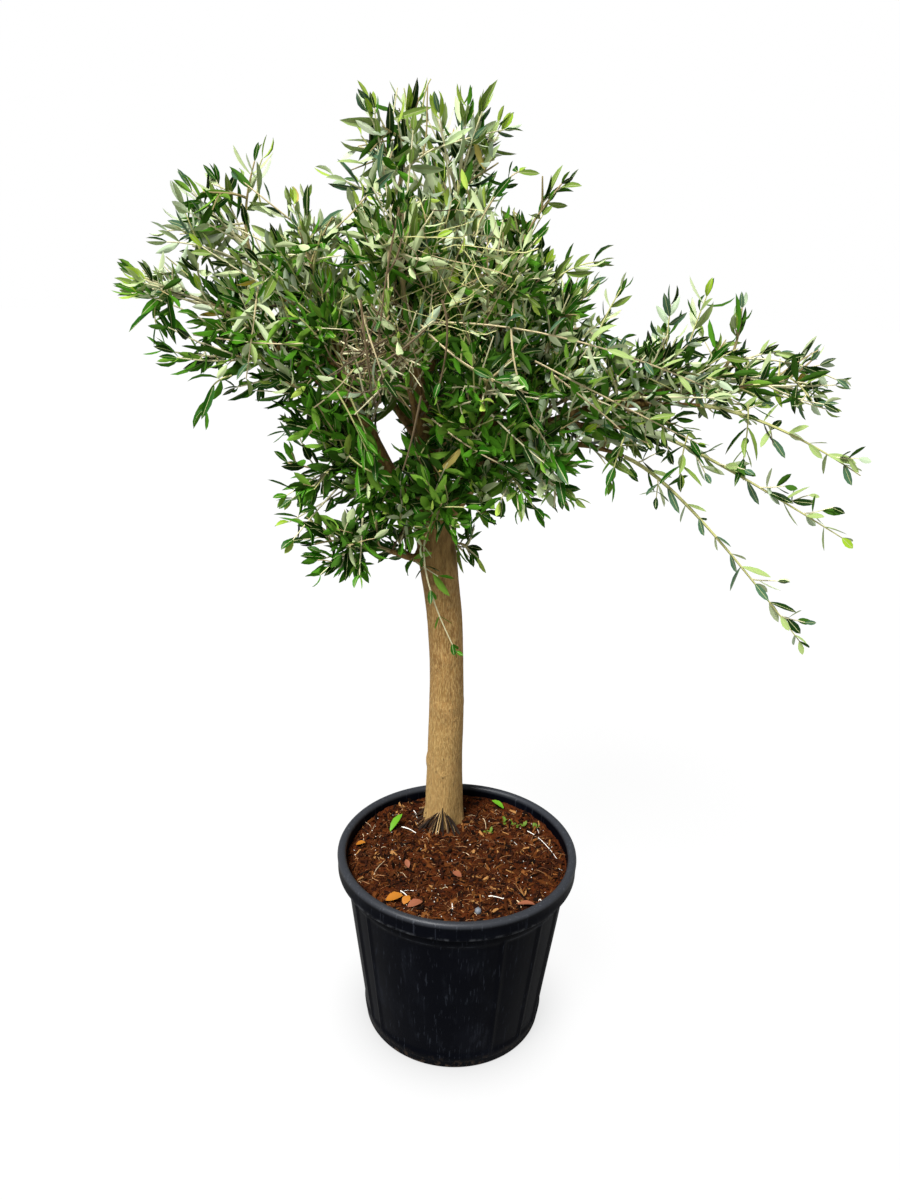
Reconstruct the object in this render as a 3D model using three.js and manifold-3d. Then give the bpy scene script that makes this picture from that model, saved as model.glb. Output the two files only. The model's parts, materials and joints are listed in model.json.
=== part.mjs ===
// A potted olive tree: a half standard in a round nursery pot. Millimetres, +Z up.
// The origin is the middle of the pot's flat underside. +X is to the right as the tree is usually seen.
import * as THREE from 'three';
import { mergeVertices } from 'three/addons/utils/BufferGeometryUtils.js';
import Module from 'manifold-3d';

const wasm = await Module();
wasm.setup();

// Driving dimensions
const CLEARANCE = 0.3; // between pieces that touch
const POT = {
  height: 413,
  rimRadius: 250,
  collarDepth: 40,
  wallTopRadius: 235,
  footRadius: 191,
  footHeight: 16,
  wall: 4,
  floor: 6,
  sides: 32,
};
const SOIL = { top: 383, edgeDrop: 7, flatRadius: 208 };
const TRUNK = {
  foot: SOIL.top + CLEARANCE,
  fork: 1128,
  // The trunk's middle: straight to half of its height, then leaning to the left
  middle: [
    [-31, 148, 383],
    [-31, 148, 560],
    [-32, 148, 740],
    [-40, 146, 880],
    [-56, 143, 1000],
    [-68, 141, 1128],
  ],
  // Its radius at shares of the height: a flared foot, a slim shaft and a swollen fork
  radii: [
    [0, 45],
    [0.05, 41],
    [0.22, 38],
    [0.5, 36],
    [0.72, 37],
    [0.86, 40],
    [0.94, 43],
    [1, 36],
  ],
  buttresses: 5,
  buttressHeight: 45,
  buttressSwell: 0.1,
  sides: 12,
  rings: 14,
};
const BOUGH = {
  mainRadius: 15, // a bough thicker than this gets more sides
  mainSides: 8,
  sides: 5,
  step: 70,
  taper: 0.38,
  thinnest: 5,
  entry: 0.8, // share of the mass's reach at which its bough ends and its own stem begins
};
const TWIG = {
  sides: 3,
  stemSteps: 8,
  stemRadius: 5,
  stemTipRadius: 3,
  radius: 2.8,
  tipRadius: 1.9,
  steps: [6, 5, 4, 3], // steps of the stem that a twig leaves from
  leafSteps: [7], // steps of the stem with a pair of leaves
  leafShares: [0.6], // shares of a twig with a pair of leaves
  spread: [40, 115],
  attempts: 16,
  shortest: 15,
  longest: 150,
  leafRoom: 0.45, // share of a leaf's length that is kept free beyond a twig's end
};
const LEAF = {
  length: 122,
  width: 41,
  thickness: 3,
  angle: 46,
  angleSpread: 16,
  sizes: [0.8, 1],
  endSize: 0.85,
  fits: [1, 0.78, 0.6], // smaller sizes that are tried where space is short
};
// A long slim shoot: a stem with short leaves, in a space of this radius round it
const SHOOT = {
  radius: 56,
  room: 5,
  entry: 165, // how far from its heart a bough gives way to the shoot's stem
  leafSteps: [3, 4, 5, 6, 7],
  sizes: [0.42, 0.62],
  endSize: 0.42,
  samples: 48,
};
const GOLDEN_ANGLE = 137.5;
const SEED = 9176;
const LIMB_CLEARANCE = 1.2; // between foliage and any limb
const PLANE_CLEARANCE = 0.8; // between a mass and each plane that parts it from a neighbour

const bough = (from, at, radius, lift) => ({ from, at, radius, lift });
const stemOnTrunk = (at) => ({ from: 'trunk', at });
const mass = (name, limb, heart, reach, tip) => ({ name, limb, heart, reach, tip });
const shoot = (name, limb, heart, tip) => ({ name, limb, heart, tip, slim: true });

// Masses of foliage. Each keeps within its reach round its heart, and its stem runs on to its tip.
// A bough leaves the trunk, or the bough of another mass, at a share of its length. It has a radius there
// and a lift of its middle.
const MASSES = [
  mass('centre', bough('trunk', 0.93, 27, 20), [-130, 5, 1585], [120, 115, 115], [-150, -70, 1640]),
  mass('left', bough('trunk', 0.9, 19, -150), [-285, 65, 1555], [120, 130, 115], [-315, 40, 1660]),
  mass('right', bough('trunk', 0.92, 25, 60), [205, 65, 1365], [102, 115, 100], [270, 25, 1315]),
  mass('back', bough('trunk', 0.94, 24, 30), [-85, 475, 1400], [165, 140, 145], [-85, 590, 1390]),
  mass('low_left_foot', bough('trunk', 0.82, 13, -20), [-222, 60, 1075], [125, 105, 100], [-328, 40, 1045]),
  mass('top_left', bough('centre', 0.72, 12, 10), [-145, 100, 1712], [105, 120, 125], [-90, 100, 1868]),
  mass('top_right', bough('centre', 0.62, 13, 10), [-30, 165, 1722], [95, 120, 110], [12, 165, 1850]),
  mass('front', bough('centre', 0.36, 10, 15), [-135, -40, 1445], [115, 110, 110], [-155, -120, 1475]),
  mass('left_peak', bough('left', 0.74, 11, 15), [-438, 145, 1592], [130, 120, 112], [-380, 150, 1765]),
  mass('left_tip', bough('left', 0.6, 12, 20), [-505, 95, 1512], [110, 100, 85], [-637, 80, 1508]),
  mass('left_low', bough('left', 0.47, 10, 20), [-435, 95, 1415], [130, 115, 95], [-535, 80, 1375]),
  mass('low_left', bough('left', 0.25, 10, -10), [-266, 85, 1222], [102, 110, 150], [-296, 75, 1135]),
  mass('right_high', bough('right', 0.35, 11, 10), [25, 25, 1545], [120, 120, 115], [70, -55, 1610]),
  mass('right_peak', bough('right', 0.55, 11, 10), [60, 120, 1595], [80, 120, 85], [168, 100, 1735]),
  mass('right_front', bough('right', 0.45, 9, 15), [20, -35, 1400], [115, 110, 110], [45, -115, 1385]),
  mass('right_shoulder', bough('right', 0.8, 9, 8), [145, 120, 1452], [80, 115, 80], [195, 120, 1552]),
  mass('low_right', bough('right', 0.22, 11, 0), [95, 5, 1262], [140, 110, 120], [205, 60, 1128]),
  mass('right_outer', bough('right', 0.72, 14, 20), [358, 55, 1370], [110, 110, 115], [325, 60, 1490]),
  mass('right_far', bough('right_outer', 0.5, 9, 15), [490, 120, 1385], [85, 95, 65], [482, 115, 1545]),
  mass('right_end', bough('right_outer', 0.4, 9, 30), [575, 80, 1375], [90, 85, 80], [640, 80, 1455]),
  mass('back_top', bough('back', 0.6, 12, 15), [-90, 350, 1645], [165, 155, 140], [-95, 410, 1740]),
  mass('back_left', bough('back', 0.4, 12, 20), [-345, 350, 1475], [180, 155, 155], [-475, 390, 1490]),
  mass('back_right', bough('back', 0.45, 12, 20), [175, 350, 1445], [180, 155, 125], [305, 390, 1430]),
  mass('back_low', stemOnTrunk(0.93), [-125, 330, 1215], [155, 140, 130], [-150, 415, 1115]),
  mass('low_centre', stemOnTrunk(0.96), [-45, 30, 1185], [130, 95, 125], [-65, -30, 1095]),
  mass('trunk_sprig', stemOnTrunk(0.87), [0, 120, 1055], [45, 50, 55], [25, 115, 985]),
  shoot('shoot_high', bough('right_outer', 0.55, 8, 60), [575, 45, 1308], [737, 30, 1210]),
  shoot('shoot_middle', bough('right', 0.7, 10, 100), [460, 25, 1240], [712, 0, 1100]),
  shoot('shoot_low', bough('right', 0.6, 9, 120), [420, 12, 1163], [660, 0, 884]),
  shoot('hanging_shoot', stemOnTrunk(0.93), [-112, 55, 1030], [-4, 72, 808]),
];

// Colours and finishes
function paint(name, color, roughness) {
  return new THREE.MeshStandardMaterial({ name, color, roughness, metalness: 0 });
}
const MATERIALS = {
  pot: paint('pot', 0x1b1d20, 0.55),
  soil: paint('soil', 0x4a2a1a, 0.95),
  bark: paint('bark', 0x9a7a52, 0.85),
  foliage: paint('foliage', 0x55703a, 0.6),
};

const vector = ([x, y, z]) => new THREE.Vector3(x, y, z);
const radians = THREE.MathUtils.degToRad;
const mix = THREE.MathUtils.lerp;
const onward = (point, direction, distance) => point.clone().addScaledVector(direction, distance);

// Random numbers from 0 to 1, the same on every run
function seeded(seed) {
  let state = seed >>> 0;
  return () => {
    state = (state + 0x6d2b79f5) >>> 0;
    let hash = Math.imul(state ^ (state >>> 15), state | 1);
    hash ^= hash + Math.imul(hash ^ (hash >>> 7), hash | 61);
    return ((hash ^ (hash >>> 14)) >>> 0) / 2 ** 32;
  };
}

function solidOf(geometry) {
  const bare = geometry.clone();
  bare.deleteAttribute('normal');
  bare.deleteAttribute('uv');
  const merged = mergeVertices(bare);
  return new wasm.Manifold(
    new wasm.Mesh({
      numProp: 3,
      vertProperties: merged.attributes.position.array,
      triVerts: new Uint32Array(merged.index.array),
    }),
  );
}

function geometryOf(solid) {
  const { vertProperties, triVerts } = solid.getMesh();
  const geometry = new THREE.BufferGeometry();
  geometry.setAttribute('position', new THREE.BufferAttribute(vertProperties, 3));
  geometry.setIndex(new THREE.BufferAttribute(triVerts, 1));
  return geometry;
}

// The largest body alone, without scraps or sealed hollows
function largest(solid) {
  return solid.decompose().reduce((best, body) => (body.volume() > best.volume() ? body : best));
}

// A closed round piece from its profile of [radius, height] pairs, from the axis below to the axis above
function turned(profile) {
  const points = profile.map(([radius, height]) => new THREE.Vector2(radius, height));
  return new THREE.LatheGeometry(points, POT.sides).rotateX(Math.PI / 2);
}

const collarFoot = POT.height - POT.collarDepth;
const innerStep = collarFoot - 2;
const wallRadius = (height) => {
  const share = (height - POT.footHeight) / (collarFoot - POT.footHeight);
  return mix(POT.footRadius + 2, POT.wallTopRadius, share);
};

// A tapering pot: a foot ring, a plain wall and a collar that ends in a rolled rim
function pot() {
  const { height, rimRadius, footRadius, footHeight, wall, floor } = POT;
  return turned([
    [0, 0],
    [footRadius - 3, 0],
    [footRadius, 3],
    [footRadius, footHeight],
    [footRadius + 2, footHeight + 3],
    [wallRadius(collarFoot), collarFoot],
    [rimRadius - 6, collarFoot + 1],
    [rimRadius - 2, collarFoot + 6],
    [rimRadius - 0.5, collarFoot + 24],
    [rimRadius, height - 9],
    [rimRadius - 4, height - 2],
    [rimRadius - 10, height],
    [rimRadius - 16, height - 3],
    [rimRadius - 18, height - 10],
    [wallRadius(collarFoot) - wall, innerStep],
    [wallRadius(floor) - wall, floor],
    [0, floor],
  ]);
}

// The soil fills the pot to below its rim and sinks a little towards the wall.
function soil() {
  const under = POT.floor + CLEARANCE;
  const insideRadius = (height) => wallRadius(height) - POT.wall - 2 * CLEARANCE;
  return turned([
    [0, under],
    [insideRadius(under), under],
    [insideRadius(innerStep), innerStep],
    [insideRadius(innerStep), SOIL.top - SOIL.edgeDrop],
    [SOIL.flatRadius, SOIL.top],
    [0, SOIL.top],
  ]);
}

// The value at a share, eased from one [share, value] pair to the next
function eased(pairs, share) {
  const next = Math.max(1, pairs.findIndex(([at]) => at >= share));
  const [before, low] = pairs[next - 1];
  const [after, high] = pairs[next];
  return mix(low, high, THREE.MathUtils.smoothstep(share, before, after));
}

const trunkCurve = new THREE.CatmullRomCurve3(TRUNK.middle.map(vector));
const trunkHeight = (share) => mix(TRUNK.foot, TRUNK.fork, share);
const trunkRadius = (share) => eased(TRUNK.radii, share);

// The trunk's middle at a share of its height, found by halving on its curve, which climbs all the way
function trunkMiddle(share) {
  const height = trunkHeight(share);
  let low = 0;
  let high = 1;
  for (let halving = 0; halving < 24; halving++) {
    const middle = (low + high) / 2;
    if (trunkCurve.getPoint(middle).z < height) low = middle;
    else high = middle;
  }
  return trunkCurve.getPoint(low).setZ(height);
}

// The trunk: level rings round its leaning middle, swollen into buttresses at the foot, all widened by grow
function trunk(grow = 0) {
  const height = TRUNK.fork - TRUNK.foot;
  const shape = new THREE.CylinderGeometry(1, 1, 1, TRUNK.sides, TRUNK.rings).rotateX(Math.PI / 2);
  const position = shape.attributes.position;
  for (let i = 0; i < position.count; i++) {
    const share = THREE.MathUtils.clamp(position.getZ(i) + 0.5, 0, 1);
    const turn = Math.atan2(position.getY(i), position.getX(i));
    const swell = TRUNK.buttressSwell * Math.exp((-share * height) / TRUNK.buttressHeight);
    const lobes = 1 + swell * Math.cos(TRUNK.buttresses * turn + 1);
    const scale = Math.hypot(position.getX(i), position.getY(i)) * (trunkRadius(share) * lobes + grow);
    const middle = trunkMiddle(share);
    const x = middle.x + scale * Math.cos(turn);
    const y = middle.y + scale * Math.sin(turn);
    position.setXYZ(i, x, y, middle.z + 2 * grow * (share - 0.5));
  }
  return solidOf(shape);
}

// The direction square to a curve at a share of its length, turned round the curve
function sideways(curve, share, turn) {
  const chord = curve.getPoint(1).sub(curve.getPoint(0));
  const level = Math.abs(chord.y) < Math.abs(chord.x) ? [0, 1, 0] : [1, 0, 0];
  const ahead = curve.getTangentAt(share);
  return vector(level).cross(ahead).normalize().applyAxisAngle(ahead, turn);
}

// A direction that leaves a curve at an angle from its own
function branching(curve, share, turn, angle) {
  const ahead = curve.getTangentAt(share).multiplyScalar(Math.cos(angle));
  return ahead.addScaledVector(sideways(curve, share, turn), Math.sin(angle));
}

// A limb: a tapering cylinder bent along a curve, closed by a flat cut at each end
function limbSolid(curve, startRadius, endRadius, sides, steps) {
  const shape = new THREE.CylinderGeometry(endRadius, startRadius, 1, sides, steps);
  const position = shape.attributes.position;
  for (let i = 0; i < position.count; i++) {
    const share = position.getY(i) + 0.5;
    const radius = Math.hypot(position.getX(i), position.getZ(i));
    const turn = Math.atan2(position.getX(i), position.getZ(i));
    const moved = onward(curve.getPointAt(share), sideways(curve, share, turn), radius);
    position.setXYZ(i, moved.x, moved.y, moved.z);
  }
  return solidOf(shape);
}

// Balls along every limb, which foliage stays clear of
const limbBalls = [];
const BALL_SPACING = 7;
function noteLimb(owner, curve, startRadius, endRadius) {
  const count = Math.ceil(curve.getLength() / BALL_SPACING);
  for (let i = 0; i <= count; i++) {
    const share = i / count;
    limbBalls.push({ owner, centre: curve.getPointAt(share), radius: mix(startRadius, endRadius, share) });
  }
}
for (let share = 0; share <= 1; share += 0.01) {
  limbBalls.push({ owner: 'trunk', centre: trunkMiddle(share), radius: 1.03 * trunkRadius(share) });
}

// How far an entry in MASSES reaches from its heart in a direction
function reachAlong({ reach }, direction) {
  return reach ? Math.hypot(...reach.map((radius, i) => radius * direction.getComponent(i))) : SHOOT.entry;
}

// A bough's curve rises to its lift and ends where it enters its mass.
function boughCurve(start, lift, entry) {
  const heart = vector(entry.heart);
  const bend = start.clone().lerp(heart, 0.5);
  bend.z += lift;
  const whole = new THREE.QuadraticBezierCurve3(start, bend, heart);
  const outside = (share) => {
    const back = whole.getPoint(share).sub(heart);
    const distance = back.length();
    return distance > (entry.slim ? 1 : BOUGH.entry) * reachAlong(entry, back.normalize());
  };
  let share = 0;
  while (share < 0.98 && outside(share)) share += 0.01;
  return new THREE.QuadraticBezierCurve3(start, start.clone().lerp(bend, share), whole.getPoint(share));
}

// Boughs, each cut to sit against the limbs made before it
const trunkGrown = trunk(CLEARANCE);
const boughs = new Map();
function addBough(entry) {
  const { from, at, radius, lift } = entry.limb;
  const start = from === 'trunk' ? trunkMiddle(at) : boughs.get(from).curve.getPointAt(at);
  const curve = boughCurve(start, lift, entry);
  const endRadius = Math.max(BOUGH.thinnest, BOUGH.taper * radius);
  const sides = radius > BOUGH.mainRadius ? BOUGH.mainSides : BOUGH.sides;
  const steps = Math.max(3, Math.round(curve.getLength() / BOUGH.step));
  const grown = limbSolid(curve, radius + CLEARANCE, endRadius + CLEARANCE, sides, steps);
  const before = [trunkGrown, ...[...boughs.values()].map((other) => other.grown)];
  const whole = limbSolid(curve, radius, endRadius, sides, steps);
  const solid = largest(whole.subtract(wasm.Manifold.union(before)));
  boughs.set(entry.name, { curve, grown, solid });
  noteLimb('bough_' + entry.name, curve, radius, endRadius);
}
MASSES.filter(({ limb }) => limb.radius).forEach(addBough);

// A mass's stem runs on from its bough's end, or from inside the trunk, by its heart and towards its tip.
function stemCurve(entry) {
  const heart = vector(entry.heart);
  const tip = vector(entry.tip);
  let foot = trunkMiddle(entry.limb.at);
  let ahead = heart.clone().sub(foot).setZ(0).normalize();
  if (boughs.has(entry.name)) {
    const { curve } = boughs.get(entry.name);
    ahead = curve.getTangentAt(1);
    foot = onward(curve.getPointAt(1), ahead, CLEARANCE);
  }
  const endLeaf = LEAF.length * (entry.slim ? SHOOT : LEAF).endSize;
  const setBack = Math.min(0.7, (0.95 * endLeaf) / tip.distanceTo(heart));
  const bend = onward(foot, ahead, 0.35 * foot.distanceTo(heart));
  return new THREE.CubicBezierCurve3(foot, bend, heart, tip.lerp(heart, setBack));
}

const masses = MASSES.map((entry, index) => {
  const stem = stemCurve(entry);
  noteLimb(entry.name, stem, TWIG.stemRadius, TWIG.stemTipRadius);
  const line = entry.slim ? stem.getSpacedPoints(SHOOT.samples) : [];
  const random = seeded(SEED + index);
  return { ...entry, heart: vector(entry.heart), tip: vector(entry.tip), stem, line, random };
});
const shoots = masses.filter(({ slim }) => slim);
const nearLine = (line, point, distance) => line.some((middle) => middle.distanceTo(point) < distance);

// The planes that part a mass from its neighbours, each set between two hearts by how far the two reach
function partingPlanes(own) {
  const planes = [];
  for (const other of masses) {
    if (other === own || other.slim || own.slim) continue;
    const normal = other.heart.clone().sub(own.heart);
    const apart = normal.length();
    const mine = reachAlong(own, normal.normalize());
    const limit = (apart * mine) / (mine + reachAlong(other, normal)) - PLANE_CLEARANCE;
    planes.push({ normal, limit });
  }
  return planes;
}
for (const own of masses) own.planes = partingPlanes(own);

// True where a point lies in the mass's own space
function holds(own, point) {
  if (own.slim) return nearLine(own.line, point, SHOOT.radius);
  const offset = point.clone().sub(own.heart);
  const inside = offset.clone().divide(vector(own.reach)).length() < 1;
  if (!inside && point.distanceTo(own.tip) > 0.75 * LEAF.length) return false;
  if (own.planes.some(({ normal, limit }) => offset.dot(normal) > limit)) return false;
  return !shoots.some(({ line }) => nearLine(line, point, SHOOT.radius + SHOOT.room));
}

// True where a ball is clear of every limb but the mass's own stem
function clearOfLimbs(own, point, radius) {
  const touches = (ball) => ball.centre.distanceTo(point) < ball.radius + radius + LIMB_CLEARANCE;
  return !limbBalls.some((ball) => ball.owner !== own.name && touches(ball));
}

// A leaf: an eight-faced lens with its root inside its twig. Null where it would leave its space.
function leaf(own, root, heading, face, size) {
  const length = LEAF.length * size;
  const width = (LEAF.width * (1 + size)) / 2;
  const across = heading.clone().cross(face).normalize();
  const up = heading.clone().cross(across);
  const middle = onward(root, heading, length / 2);
  const edges = [onward(middle, across, width / 2), onward(middle, across, -width / 2)];
  if (![onward(root, heading, length), ...edges].every((corner) => holds(own, corner))) return null;
  for (let share = 0.05; share <= 1; share += 0.1) {
    const halfWidth = Math.max(1, width * (0.5 - Math.abs(share - 0.5)));
    if (!clearOfLimbs(own, onward(root, heading, share * length), halfWidth)) return null;
  }
  const shape = new THREE.OctahedronGeometry(0.5).scale(width, LEAF.thickness, length);
  shape.applyMatrix4(new THREE.Matrix4().makeBasis(across, up, heading).setPosition(middle));
  return solidOf(shape);
}

// Leaves in opposite pairs along a curve, each pair a quarter turn on from the last, and one leaf at its end
function leavesAlong(own, curve, shares, pieces) {
  const kind = own.slim ? SHOOT : LEAF;
  const grow = (share, turn, angle, size) => {
    const heading = branching(curve, share, turn, angle);
    const face = branching(curve, share, turn, angle + Math.PI / 2);
    face.addScaledVector(sideways(curve, share, turn), own.random() - 0.5).normalize();
    for (const fit of LEAF.fits) {
      const made = leaf(own, curve.getPointAt(share), heading, face, fit * size);
      if (made) {
        pieces.push(made);
        return;
      }
    }
  };
  let turn = Math.PI / 3;
  for (const share of shares) {
    const angle = radians(LEAF.angle + LEAF.angleSpread * (own.random() - 0.5));
    const size = mix(...kind.sizes, own.random());
    grow(share, turn, angle, size);
    grow(share, turn + Math.PI, angle, size);
    turn += Math.PI / 2;
  }
  grow(0.97, turn, radians(6), kind.endSize);
}

// How far a straight twig can run before it leaves the mass's space or meets a limb
function freeLength(own, start, heading) {
  const step = 8;
  let length = 0;
  while (length < TWIG.longest) {
    const point = onward(start, heading, length);
    if (!holds(own, point) || !clearOfLimbs(own, point, TWIG.radius)) break;
    length += step;
  }
  return length - step;
}

// A twig from the stem. Of some directions by the golden angle it takes a long one, far from earlier twigs.
function twigLine(own, share, ends) {
  const start = own.stem.getPointAt(share);
  let best = { score: -Infinity };
  for (let attempt = 0; attempt < TWIG.attempts; attempt++) {
    own.turn += radians(GOLDEN_ANGLE);
    const heading = branching(own.stem, share, own.turn, radians(mix(...TWIG.spread, own.random())));
    const length = freeLength(own, start, heading) - TWIG.leafRoom * LEAF.length;
    if (length < TWIG.shortest) continue;
    const end = onward(start, heading, length);
    const score = 0.5 * length + Math.min(...ends.map((other) => other.distanceTo(end)));
    if (score > best.score) best = { end, score };
  }
  return best.end && new THREE.LineCurve3(start, best.end);
}

// A mass: its stem, twigs that branch from it, and leaves, fused into one solid
function foliage(own) {
  const { sides, stemSteps, stemRadius, stemTipRadius, radius, tipRadius } = TWIG;
  const stem = limbSolid(own.stem, stemRadius, stemTipRadius, sides, stemSteps);
  const pieces = [boughs.has(own.name) ? stem : largest(stem.subtract(trunkGrown))];
  const leafSteps = (own.slim ? SHOOT : TWIG).leafSteps;
  leavesAlong(own, own.stem, leafSteps.map((step) => step / stemSteps), pieces);
  const ends = [own.tip];
  own.turn = 2 * Math.PI * own.random();
  for (const step of own.slim ? [] : TWIG.steps) {
    const twig = twigLine(own, step / stemSteps, ends);
    if (!twig) continue;
    ends.push(twig.v2);
    pieces.push(limbSolid(twig, radius, tipRadius, sides, 1));
    leavesAlong(own, twig, TWIG.leafShares, pieces);
  }
  return largest(wasm.Manifold.union(pieces));
}

const tree = new THREE.Group();
function add(name, geometry, material) {
  const mesh = new THREE.Mesh(geometry, material);
  mesh.name = name;
  tree.add(mesh);
}

add('pot', pot(), MATERIALS.pot);
add('soil', soil(), MATERIALS.soil);
add('trunk', geometryOf(trunk()), MATERIALS.bark);
for (const [name, { solid }] of boughs) add('bough_' + name, geometryOf(solid), MATERIALS.bark);
for (const own of masses) add('foliage_' + own.name, geometryOf(foliage(own)), MATERIALS.foliage);

export default tree;
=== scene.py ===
"""A potted olive tree, dressed round its solids. Metres, +Z up, as in the frame."""

import json
import math
import random

import bmesh
import bpy
import numpy as np
from mathutils import Matrix, Vector, kdtree, noise
from mathutils.geometry import interpolate_bezier

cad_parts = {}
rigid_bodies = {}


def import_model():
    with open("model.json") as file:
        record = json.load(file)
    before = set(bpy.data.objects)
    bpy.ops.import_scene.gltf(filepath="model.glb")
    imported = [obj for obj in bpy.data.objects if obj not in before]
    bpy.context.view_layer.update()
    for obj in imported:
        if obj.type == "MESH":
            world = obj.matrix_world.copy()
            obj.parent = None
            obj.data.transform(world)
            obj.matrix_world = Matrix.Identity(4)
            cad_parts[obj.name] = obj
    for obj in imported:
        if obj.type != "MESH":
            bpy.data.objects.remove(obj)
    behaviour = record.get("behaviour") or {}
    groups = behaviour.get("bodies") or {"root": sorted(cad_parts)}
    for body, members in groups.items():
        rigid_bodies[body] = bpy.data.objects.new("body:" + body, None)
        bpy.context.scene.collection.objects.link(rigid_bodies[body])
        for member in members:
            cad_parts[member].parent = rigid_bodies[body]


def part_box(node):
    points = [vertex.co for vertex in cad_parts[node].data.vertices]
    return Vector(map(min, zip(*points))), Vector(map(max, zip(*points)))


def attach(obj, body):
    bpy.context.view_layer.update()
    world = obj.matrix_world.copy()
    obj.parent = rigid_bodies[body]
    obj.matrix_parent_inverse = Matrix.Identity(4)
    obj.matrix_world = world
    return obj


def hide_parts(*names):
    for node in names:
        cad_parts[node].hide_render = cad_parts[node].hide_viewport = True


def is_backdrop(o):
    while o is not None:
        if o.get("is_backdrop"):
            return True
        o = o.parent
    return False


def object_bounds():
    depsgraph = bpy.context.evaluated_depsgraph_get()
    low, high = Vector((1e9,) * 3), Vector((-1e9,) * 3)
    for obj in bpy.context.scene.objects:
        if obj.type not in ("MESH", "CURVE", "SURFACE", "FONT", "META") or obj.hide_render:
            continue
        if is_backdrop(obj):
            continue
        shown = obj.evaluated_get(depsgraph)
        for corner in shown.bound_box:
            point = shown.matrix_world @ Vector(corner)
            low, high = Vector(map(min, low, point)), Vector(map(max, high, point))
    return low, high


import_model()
cad_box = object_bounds()

UP = Vector((0, 0, 1))
GOLDEN_ANGLE = math.radians(137.5)
SEED = 9176

# Sizes taken from the solids
POT_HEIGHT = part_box("pot")[1][2]
RIM_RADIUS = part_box("pot")[1][0]
SOIL_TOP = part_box("soil")[1][2]
TRUNK_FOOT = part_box("trunk")[0][2]
TRUNK_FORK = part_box("trunk")[1][2]

# The pot
COLLAR_DEPTH = 0.040
COLLAR_FOOT = POT_HEIGHT - COLLAR_DEPTH
WALL_TOP_RADIUS = 0.235
FOOT_RADIUS = 0.191
FOOT_HEIGHT = 0.016
FOOT_ROUND, COLLAR_ROUND, RIM_ROUND = 0.003, 0.0035, 0.009  # radii of its rounded edges
POT_WALL = 0.004
POT_FLOOR = 0.006
INNER_RINGS = [0.30, 0.20, 0.10, 0.03]  # heights
POT_STEPS = 288  # round the pot
WALL_ROWS = 60
PANEL_TOP = 0.026  # below the collar
PANEL_DEPTH = 0.0024
RIB_HEIGHT = 0.0008
RIB_HALF_WIDTH = 0.0026
RIB_ANGLES = [math.radians(turn) for turn in (-152, -140, -66, -43, -27, 14, 27, 62, 98, 112, 150, 164)]

# The trunk's middle by height, and its radius by share of its height
TRUNK_MIDDLE = [
    (0.383, -0.031, 0.148),
    (0.560, -0.031, 0.148),
    (0.740, -0.032, 0.148),
    (0.880, -0.040, 0.146),
    (1.000, -0.056, 0.143),
    (1.128, -0.068, 0.141),
]
TRUNK_RADII = [
    (0, 0.045),
    (0.05, 0.041),
    (0.22, 0.038),
    (0.5, 0.036),
    (0.72, 0.037),
    (0.86, 0.040),
    (0.94, 0.043),
    (1, 0.036),
]
BUTTRESSES = 5
BUTTRESS_HEIGHT = 0.045
BUTTRESS_SWELL = 0.10

# Boughs
BOUGH_TAPER = 0.38
BOUGH_THINNEST = 0.0042
BOUGH_ENTRY = 0.8  # share of a mass's reach at which its bough ends and its own stem begins
SHOOT_ENTRY = 0.165
SHOOT_SPACE = 0.056  # radius of the space round a slim shoot

# The relief of the bark, in metres: ridges, fine ridges and lumps
RIDGES = (0.0011, 0.0004, 0.0080)
BARK_MESH = 0.0036
TRUNK_SIDES, TRUNK_RINGS = 32, 40
BOUGH_SIDES, BOUGH_RING = 12, 0.03
# Stubs where twigs were cut, as height, turn in degrees and radius
STUBS = [
    (1.005, 196, 0.012),
    (0.905, -70, 0.005),
    (0.760, -120, 0.004),
    (0.640, -60, 0.004),
    (0.505, -95, 0.005),
]

# Splinters at the trunk's foot, those of the fan in front first
SPLINTERS = 56
FAN_SPLINTERS = 40
FAN_TURN, FAN_UPPER, FAN_LOWER = -93, 8, 36  # degrees: its middle, and how far it opens above and below
FAN_HEIGHT, SIDE_HEIGHT = 0.058, 0.030
SPLINTER_TONES = ["352415", "5a4026", "a98c60", "1c120b"]
SPLINTER_WEIGHTS = [38, 26, 12, 24]

# The compost's roughness, as heights and how many bumps there are in a metre
SOIL_ROUGHNESS = [(0.0045, 26), (0.0030, 75), (0.0016, 190)]
SOIL_MESH = 170  # cells across
SOIL_HEAP, SOIL_DIP = 0.008, 0.002  # higher towards the back, lower at the wall

# What lies on the compost
CHIPS, CHIP_SHAPES = 3600, 8
CHIP_TONES = ["2a1004", "422008", "5a3010", "744720", "140702", "9c7040"]
CHIP_WEIGHTS = [28, 27, 15, 7, 20, 3]
FIBRES = 420
FIBRE_TONES = ["a67a50", "704626", "d0b994", "e9e4da"]
FIBRE_WEIGHTS = [40, 54, 5, 1]
GRIT = 190
PEBBLES = [(0.042, -0.177, 0.014, 2), (0.166, -0.133, 0.008, 0)]  # x, y, size and colour number
TRUNK_ROOM = 0.046  # nothing lies nearer to the trunk's middle
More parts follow.
